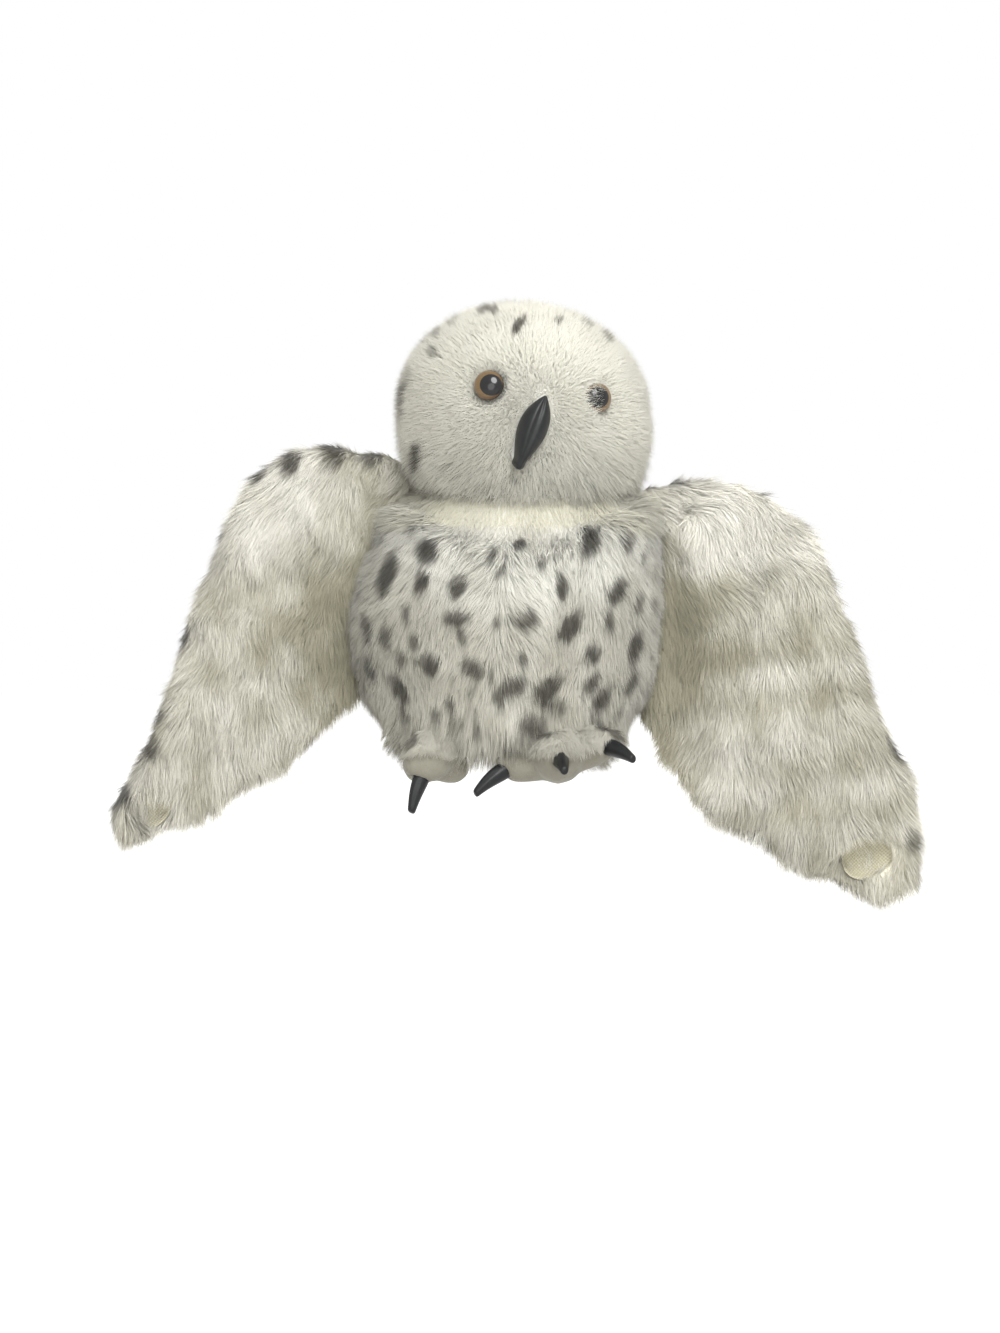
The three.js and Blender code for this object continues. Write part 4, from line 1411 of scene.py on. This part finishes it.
def merge_where(obj, test):
    """Closes a small last ring to a point."""
    with editing(obj):
        select_where(obj, test)
        bpy.ops.mesh.merge(type="CENTER")


def smoothed(obj, angle=40):
    """Shades the object smooth, but for edges sharper than this angle."""
    only(obj)
    bpy.ops.object.shade_smooth_by_angle(angle=math.radians(angle))


# %% [markdown]
# ## The beak
# It is a hooked wedge in semi-gloss black, with a flat back on the face, a groove down its middle
# and a blunt knob at its tip.

# %% Black plastic
black = Finish("black plastic", Roughness=0.32, Specular_IOR_Level=0.3)
cloud = black.noise(3 * mm)
black.set("Base Color", black.mix(cloud, (0.007, 0.0075, 0.008), (0.015, 0.016, 0.017)))
black.set("Roughness", 0.3 + 0.14 * black.noise(1.5 * mm))
black.bump(black.noise(0.8 * mm), 0.05 * mm)

# %% The beak's shape
beak_rings = [
    (-0.3, 0.5, 0.7, 0),
    (-2.5, 2.2, 2.4, 0),
    (-6.0, 4.8, 4.8, 0),
    (-11.0, 7.0, 7.4, 0),
    (-16.0, 7.8, 9.2, 0),
    (-21.0, 7.7, 10.3, 0),
    (-26.0, 6.6, 10.9, 0),
    (-31.0, 5.0, 11.0, 0),
    (-34.5, 3.6, 10.6, 0),
    (-36.2, 3.1, 10.2, 0),
    (-37.6, 3.5, 10.3, 0),
    (-39.2, 3.2, 9.7, 0),
    (-40.0, 1.8, 8.0, 0),
]
beak = stacked("beak_moulded", 24, beak_rings)
resize_where(beak, lambda spot: spot.y > 0.01 * mm, (1, 0.02, 1))
shift_where(
    beak,
    lambda spot: abs(spot.x) < 0.1 * mm and spot.y < -1 * mm and -36 * mm < spot.z < -1 * mm,
    (0, 1.3, 0),
)
smoothed(subdivided(beak, 2))
place(beak, beak_matrix @ Matrix.Translation((0, 0, beak_length / 2 * mm)))
dress(beak, black.material, "head")
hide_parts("beak")

# %% [markdown]
# ## The eyes
# A safety eye is a clear dome over an amber iris and a black pupil, with a flange against the
# fabric and a post that a washer locks behind it. The colours are read from each point's distance
# to the axis, and a coat gives the gloss of the dome.

# %% The eye's finish
glass = Finish(
    "amber eye", Roughness=0.3, Coat_Weight=0.8, Coat_Roughness=0.03, Specular_IOR_Level=0.1
)
reach = glass.attribute("reach")
streak = glass.noise(0.5 * mm)
iris = glass.mix(streak, (0.08, 0.048, 0.018), (0.20, 0.125, 0.048))
iris = glass.mix(reach.step(0.84, 0.98), iris, (0.10, 0.05, 0.018))
pupil = glass.attribute("pupil")
iris = glass.mix(pupil.step(0.70, 0.75), (0.006, 0.006, 0.007), iris)
glass.set("Base Color", glass.mix(reach.step(1.0, 1.06), iris, (0.02, 0.018, 0.015)))

# %% The eyes' shape
pupil_shift = 2.2
dome_steps = [math.pi / 2 * 0.97 * step / 12 for step in range(13)]
eye_rings = round_rings(
    (-13, 1.6),
    (-12.4, 2),
    (-0.4, 2),
    (0, 7.0),
    (0.25, 7.85),
    (1.1, 7.85),
    *((eye_seat + 4.6 * math.sin(turn), eye_radius * math.cos(turn)) for turn in dome_steps),
)
for side, (spot, facing) in eye_places.items():
    eye = stacked(f"eye_moulded_{side}", 40, eye_rings)
    points = points_of(eye.data) / mm
    radius = np.hypot(points[:, 0], points[:, 1]) / eye_radius
    mark(eye.data, "reach", np.where(points[:, 2] < 1.2, 1.2, radius))
    # Through the dome of an eye that looks outwards, the pupil seems nearer to the beak.
    towards = pupil_shift if side == "left" else -pupil_shift
    mark(eye.data, "pupil", np.hypot(points[:, 0] - towards, points[:, 1] + 0.5) / eye_radius)
    smoothed(eye)
    facing_turn = facing.to_track_quat("Z", "Y").to_matrix().to_4x4()
    place(eye, head_matrix @ Matrix.Translation(spot) @ facing_turn)
    dress(eye, glass.material, "head")
    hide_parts(f"eye_{side}")

# %% [markdown]
# ## Feet and claws
# The feet are short velour pads whose toes are pinched round hooked claws. A claw is modelled once,
# straight, with two shallow flutes. It is then drooped ring by ring, and copied to the six toes.

# %% Velour
velour = Finish("velour", Roughness=0.9, Sheen_Weight=0.25, Sheen_Roughness=0.4)
nap = velour.noise(0.7 * mm)
crushed = velour.noise(7 * mm)
# Painted shade: the pale velour is painted darker, as the feet sit in shade under the body.
pile = velour.mix(crushed * 0.6 + nap * 0.4, (0.18, 0.17, 0.135), (0.26, 0.25, 0.205))
velour.set("Base Color", pile)
velour.set("Roughness", 0.82 + 0.15 * nap)
velour.bump(nap, 0.35 * mm)

# %% Fur over the toes
fringe_lowest, fringe_rearmost = {"left": 4.5, "right": 5.5}, -47  # mm above the hem, mm in y


def toe_fringe(side):
    """The belly's pile laps over the tops of the toes, so a row of it is sewn on with each foot."""
    corners, normals = surface_of(foot_skins[side])
    centres, facing = corners.mean(1) / mm, unit(normals.mean(1))
    chosen = (facing[:, 2] > 0.1) & (centres[:, 2] > fringe_lowest[side])
    chosen &= centres[:, 1] < fringe_rearmost
    root, normal = roots_on(corners[chosen], normals[chosen], 0.42 * mm, 420 + (side == "right"))
    comb = np.array([(0, -0.25, -1.0)]) + 0.3 * ripple(root, 12 * mm, 421)
    length = np.full(len(root), 9.0 * mm)
    look = {"tuft": 3.5, "pull": 0.3, "width": 0.2, "ruffle": 0.14}
    # Painted shade, deepest low on the toes, with a little painted light at their tops.
    look["shade"] = -0.2 + 0.75 * smooth_step(10.5, 6, root[:, 2] / mm)
    look["facing"] = unit(0.4 * normal + (0, -1, -0.3))
    name = f"toe_fringe_{side}"
    fur = grow(name, root, normal, comb, length, 0.16, belly_ink, 422, **look)
    dress(fur, shaded_toe_fur, f"{side}_foot")


for side in ("left", "right"):
    toe_fringe(side)

# %% One claw
claw_length, claw_radius, claw_tip, claw_droop, flute_depth = 17.0, 4.6, 2.3, 3.0, 0.16
claw_rings = round_rings((-5, claw_radius), (-4.6, claw_radius))
for step in range(8):
    along = step / 7
    radius = claw_radius + (claw_tip - claw_radius) * along**1.4
    claw_rings.append((16.0 * along, radius * 0.94, radius, 0))
claw_rings += [(16.8, 1.9, 2.0, 0), (17.2, 1.0, 1.1, 0)]
claw = stacked("claw", 16, claw_rings)
for side in (-1, 1):
    flute = side * math.radians(45)
    resize_where(
        claw,
        lambda spot: 0 < spot.z < 15 * mm and abs(math.atan2(spot.x, spot.y) - flute) < 0.1,
        (1 - flute_depth, 1 - flute_depth, 1),
    )
for height, *_ in claw_rings:
    if height > 0:
        fall = -claw_droop * (height / claw_length) ** 2
        shift_where(claw, lambda spot: abs(spot.z - height * mm) < 0.01 * mm, (0, fall, 0))
smoothed(subdivided(claw))
print("one claw:", len(claw.data.polygons), "faces")

# %% The claws on their toes
# For each toe: reach and radius in mm, the toe's own aim, and the claw's aim. An aim is an azimuth
# from straight ahead towards the viewer's right and a pitch up from level, in degrees.
heels = {"left": (-36, -44, 4), "right": (27, -45, 1)}
toes = {
    ("left", "inner"): (13, 9, (-23, -35), (-45, -58)),
    ("left", "middle"): (11, 8.5, (130, -48), (180, -8)),
    ("left", "outer"): (11, 8.5, (-140, -48), (-174, -8)),
    ("right", "inner"): (24, 9, (-75, -10), (-66, -27)),
    ("right", "middle"): (13, 12.5, (0, 3), (6, -6)),
    ("right", "outer"): (24, 9, (75, 15), (40, -8)),
}


def aimed(azimuth, pitch):
    turn, rise = math.radians(azimuth), math.radians(pitch)
    level = math.cos(rise)
    return Vector((level * math.sin(turn), -level * math.cos(turn), math.sin(rise)))


for (side, toe), (reach_out, radius, toe_aim, claw_aim) in toes.items():
    toe_end = Vector(heels[side]) + aimed(*toe_aim) * reach_out
    ahead = aimed(*claw_aim)
    sideways = ahead.cross(Vector((0, 0, 1))).normalized()
    above = sideways.cross(ahead)
    start = toe_end + ahead * (radius - 0.5)
    turned = Matrix((above.cross(ahead), above, ahead)).transposed().to_4x4()
    copy = linked(f"claw_moulded_{side}_{toe}", claw.data.copy())
    place(copy, Matrix.Translation(start * mm) @ turned)
    dress(copy, black.material, f"{side}_foot")
    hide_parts(f"claw_{side}_{toe}")
bpy.data.objects.remove(claw)

# %% [markdown]
# ## Linings and the bound hem
# The hand goes into a woven cotton lining, a finger into a sleeve in the head, and the wearer's
# fingertips into a small woven pocket in each wing tip. They are thin cloth, so each is a shell
# with real thickness. The hem is a rounded tape with a row of stitches, copied from one stitch.

# %% Woven cotton
woven = Finish("woven cotton", Roughness=0.85)
thread = 2 * math.pi / (1.8 * mm)
warp = (woven.axis("X") + woven.axis("Y") * 0.35).wave(thread)
weft = (woven.axis("Z") + woven.axis("Y") * 0.35).wave(thread)
weave = warp * weft + (1 - warp) * (1 - weft)
cloth_shade = woven.mix(
    weave * 0.7 + woven.noise(5 * mm) * 0.3, (0.34, 0.315, 0.22), (0.66, 0.635, 0.49)
)
woven.set("Base Color", cloth_shade)
woven.bump(weave, 0.25 * mm)

# %% The hand lining
hand_rings = [
    (4.6, 38.6, 32.6, 0),
    (10, 39.5, 33, 0),
    (18, 42.2, 34.2, 0),
    (28, 46.6, 36.0, 0),
    (38, 49.8, 36.9, 0),
    (50, 50.4, 37.4, 0),
    (62, 50.4, 37.4, 0),
    (74, 50.4, 37.4, 0),
    (82, 50.0, 37.0, 0),
    (88, 45.5, 34.5, 0.6),
    (94, 37.5, 30.2, 1.6),
    (100, 27.5, 24.5, 2.8),
    (106, 20.5, 20.0, 3.7),
    (110, 18.7, 18.7, 4),
    (114.5, 18.7, 18.7, 4),
]
hand_cloth = stacked("hand_lining_cloth", 48, hand_rings, closed=False)
points = points_of(hand_cloth.data)
points[:, 0] += neck_lean / 2 * smooth_step(82 * mm, 110 * mm, points[:, 2])
creases = ripple(points, 26 * mm, 71)[:, 0] * smooth_step(8 * mm, 30 * mm, points[:, 2])
inwards = -unit(points * (1, 1, 0)) * np.abs(creases)[:, None] * 1.2 * mm
set_points(hand_cloth.data, points + inwards)
print("hand lining:", len(hand_cloth.data.polygons), "faces")


def cloth_wall(obj, thickness):
    """Gives a single layer of cloth its thickness, half to each side."""
    wall = obj.modifiers.new("wall", "SOLIDIFY")
    wall.thickness, wall.offset = thickness, 0
    smoothed(subdivided(obj), 60)


def flat_area(obj):
    mesh = bmesh.new()
    mesh.from_mesh(obj.data)
    area = sum(face.calc_area() for face in mesh.faces)
    mesh.free()
    return area


cotton = 1.0 * mm
hand_area = flat_area(hand_cloth)
cloth_wall(hand_cloth, cotton)
dress(hand_cloth, woven.material, "body")
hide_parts("hand_lining")

# %% The finger sleeve
sleeve_bottom = -math.sqrt(head_radius**2 - 16.4**2)
sleeve_rings = round_rings(
    (sleeve_bottom + 0.3, 15.7),
    (-45, 15.7),
    (-28, 15.5),
    (-10, 15.6),
    (3, 15.5),
    (7, 14.2),
    (10, 11),
    (12.0, 7),
    (12.7, 3),
    (12.8, 0.6),
)
sleeve_cloth = stacked("finger_sleeve_cloth", 32, sleeve_rings, closed=False)
merge_where(sleeve_cloth, lambda spot: spot.z > 12.75 * mm)
sleeve_area = flat_area(sleeve_cloth)
cloth_wall(sleeve_cloth, cotton)
place(sleeve_cloth, head_matrix)
dress(sleeve_cloth, woven.material, "finger_sleeve")
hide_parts("head_finger_sleeve")

# %% The pocket linings
pocket_lips = {"left": -2.8, "right": -1.6}
pocket_cloths = {}
for side, (x, z, turn) in pockets.items():
    low, high = (np.array(corner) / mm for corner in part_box(f"pocket_lining_{side}"))
    front, floor_depth = low[1] + 0.2, high[1] - 0.7
    lip, deep = pocket_lips[side], front - floor_depth
    rings = [
        (lip, 14.2, 12.0, 0),
        (lip - 0.8, 13.2, 10.8, 0),
        (0.48 * deep, 12.6, 10.1, 0),
        (0.6 * deep, 11.0, 8.7, 0),
        (0.66 * deep, 6.5, 5.0, 0),
        (0.68 * deep, 0.6, 0.5, 0),
    ]
    pocket = stacked(f"pocket_cloth_{side}", 36, rings, closed=False)
    merge_where(pocket, lambda spot: math.hypot(spot.x, spot.y) < 0.8 * mm)
    # The mouth narrows towards the viewer's right.
    points = points_of(pocket.data)
    points[:, 1] *= 1 - 0.22 * points[:, 0] / (pocket_half[0] * mm)
    set_points(pocket.data, points)
    pocket_area = flat_area(pocket)
    cloth_wall(pocket, 0.9 * cotton)
    upright = Matrix.Rotation(math.radians(90), 4, "X")
    tilt = Matrix.Rotation(-turn, 4, "Y")
    place(pocket, Matrix.Translation(Vector((x, front + 1.4, z)) * mm) @ tilt @ upright)
    dress(pocket, woven.material)
    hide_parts(f"pocket_lining_{side}")
    pocket_cloths[side] = pocket
    print(pocket.name, "area", round(pocket_area / mm**2), "mm2")

# %% The bound hem
hem_half = (42.0, 36.0)  # half the width and depth of the tape's middle line, in mm
torus_radius = 40
bpy.ops.mesh.primitive_torus_add(
    major_segments=96, minor_segments=12, major_radius=torus_radius * mm, minor_radius=2 * mm
)
hem = named("hem_tape")
with editing(hem):
    oval = (hem_half[0] / torus_radius, hem_half[1] / torus_radius, 1)
    bpy.ops.transform.resize(value=oval, center_override=(0, 0, 0))
    bpy.ops.transform.translate(value=(0, 0, 2.1 * mm))
# The tape is wider across than it is high.
points = points_of(hem.data)
ring = unit(points * (1, 1, 0)) * np.array((*hem_half, 0)) * mm
across = points * (1, 1, 0) - ring
points[:, :2] += across[:, :2] * 0.9
set_points(hem.data, points)
smoothed(subdivided(hem))
dress(hem, cream_backing, "body")
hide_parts("hem_binding")

# %% Its stitches
stitch_count = 90
wide, deep = (half + 3.6 for half in hem_half)
bpy.ops.mesh.primitive_uv_sphere_add(segments=6, ring_count=4, radius=mm)
stitch = named("stitch")
with editing(stitch):
    bpy.ops.transform.resize(value=(1.3, 0.35, 0.35), center_override=(0, 0, 0))
stitches = []
for index in range(stitch_count):
    turn = 2 * math.pi * index / stitch_count
    spot = Vector((wide * math.cos(turn), deep * math.sin(turn), 2.2)) * mm
    heading = math.atan2(deep * math.cos(turn), -wide * math.sin(turn))
    copy = linked("stitch_copy", stitch.data.copy())
    stitches.append(place(copy, Matrix.Translation(spot) @ Matrix.Rotation(heading, 4, "Z")))
bpy.data.objects.remove(stitch)
stitching = joined("hem_stitches", stitches)
dress(stitching, woven.material, "body")

# %% The washers keep their solids and get a nylon finish
nylon = Finish("white nylon", Roughness=0.4)
nylon.set("Base Color", nylon.mix(nylon.noise(4 * mm), (0.66, 0.66, 0.63), (0.78, 0.78, 0.75)))
nylon.set("Roughness", 0.35 + 0.12 * nylon.noise(2 * mm))
for name, node in frame["nodes"].items():
    if "washer" in name:
        node.data.materials.clear()
        node.data.materials.append(nylon.material)

# %% [markdown]
# ## What moves with what
# The body's pieces ride on the body and the head's on the head. A wing is sewn to the body; its
# skin, fur and pocket ride on no body, and their places are baked into their meshes.

# %% Riding
dress(body_cover, white_backing, "body")
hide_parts(*body_nodes)
dress(head_cover, white_backing, "head")
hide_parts("head_face", "head_left", "head_right", "head_stuffing")
for panel, fur in body_furs.items():
    plain = panel == "neck_collar"
    dress(fur, bib_fur if plain else belly_fur, "body")
for fur in head_furs.values():
    dress(fur, white_fur, "head")
for side, sign in wing_sign.items():
    skin = wing_skins[side]
    dress(skin, cream_backing)
    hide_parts(f"wing_inner_{side}", f"wing_outer_{side}")
    dress(wing_furs[side, 0], cream_fur)
    dress(wing_furs[side, 1], belly_fur)
    for piece in (skin, wing_furs[side, 0], wing_furs[side, 1], pocket_cloths[side]):
        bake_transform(piece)
    dress(foot_skins[side], velour.material, f"{side}_foot")
    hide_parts(f"foot_{side}")

# %% [markdown]
# ## Camera, light and floor
# The photograph was taken from the front, a little above the middle of the body, with a long lens.
# Soft light comes from above. The floor and the background are white only for the rays that the
# camera, a reflection or clear plastic sees, so they add no light, and the floor keeps the shadow.

# %% The camera
distance, elevation, view_width = 2.6, math.radians(2.0), 0.693
aim = Vector((-2.6, -10.0, 46.0)) * mm
away = Vector((0, -math.cos(elevation), math.sin(elevation)))
camera = linked("camera", bpy.data.cameras.new("camera"))
camera.location = aim + away * distance
camera.rotation_euler = (-away).to_track_quat("-Z", "Y").to_euler()
camera.data.sensor_width = 36
camera.data.lens = camera.data.sensor_width * distance / view_width
camera.data.clip_end = 20
bpy.context.scene.camera = camera

# %% White where it is only seen


def seen_directly(tree):
    """1 for camera, glossy and transmission rays, and 0 for the rays that light the object."""
    path = tree.nodes.new("ShaderNodeLightPath")
    socket = path.outputs["Is Camera Ray"]
    for other in ("Is Glossy Ray", "Is Transmission Ray"):
        either = tree.nodes.new("ShaderNodeMath")
        either.operation = "MAXIMUM"
        tree.links.new(socket, either.inputs[0])
        tree.links.new(path.outputs[other], either.inputs[1])
        socket = either.outputs[0]
    return socket


def mix_shaders(tree, share, first, second, target):
    mixer = tree.nodes.new("ShaderNodeMixShader")
    for socket, source in zip(mixer.inputs, (share, first, second)):
        tree.links.new(source, socket)
    tree.links.new(mixer.outputs[0], target)


world = bpy.data.worlds.new("world")
bpy.context.scene.world = world
world.use_nodes = True
tree = world.node_tree
ambient = tree.nodes["Background"]
ambient.inputs["Color"].default_value = (1, 0.96, 0.87, 1)
ambient.inputs["Strength"].default_value = 0.62
white = tree.nodes.new("ShaderNodeBackground")
white.inputs["Color"].default_value = (1, 1, 1, 1)
white.inputs["Strength"].default_value = 1.0
mix_shaders(
    tree,
    seen_directly(tree),
    ambient.outputs[0],
    white.outputs[0],
    tree.nodes["World Output"].inputs["Surface"],
)

# %% Lamps


def softbox(name, location, target, size, power):
    light = bpy.data.lights.new(name, "AREA")
    light.shape = "DISK"
    light.size, light.energy = size, power
    obj = linked(name, light)
    obj.location = location
    obj.rotation_euler = (Vector(target) - Vector(location)).to_track_quat("-Z", "Y").to_euler()


# Each has a place, a target and a size in metres, and a power in watts.
softbox("key light", (0.3, -1.1, 1.15), (0, 0, 0.08), 0.9, 22.5)
softbox("fill light", (-0.1, -1.5, 0.35), (0, 0, 0.05), 1.0, 5)
softbox("back light", (-0.4, 1.4, 0.9), (0, 0, 0.08), 1.0, 14)

# %% The floor
floor_height = -92 * mm
bpy.ops.mesh.primitive_plane_add(size=6, location=(0, 0, floor_height))
floor = named("floor")
floor_finish = Finish("floor", Roughness=0.9)
floor_finish.set("Base Color", (0.9, 0.9, 0.9))
floor.data.materials.append(floor_finish.material)
tree = floor_finish.tree
glow = tree.nodes.new("ShaderNodeEmission")
glow.inputs["Strength"].default_value = 1.25
share = tree.nodes.new("ShaderNodeMath")
share.operation = "MULTIPLY"
share.inputs[1].default_value = 0.75
tree.links.new(seen_directly(tree), share.inputs[0])
mix_shaders(
    tree,
    share.outputs[0],
    floor_finish.shader.outputs[0],
    glow.outputs[0],
    tree.nodes["Material Output"].inputs["Surface"],
)
floor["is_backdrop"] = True
bpy.context.scene.view_settings.view_transform = "Standard"

# %% Sizes
import json

low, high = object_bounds()
total = 0
for obj in bpy.context.scene.objects:
    if obj.type == "MESH" and not obj.hide_render:
        triangles = sum(len(polygon.vertices) - 2 for polygon in obj.data.polygons)
        total += triangles
        if triangles > 50_000:
            print(obj.name, triangles, "triangles")
print("triangles in all:", total)
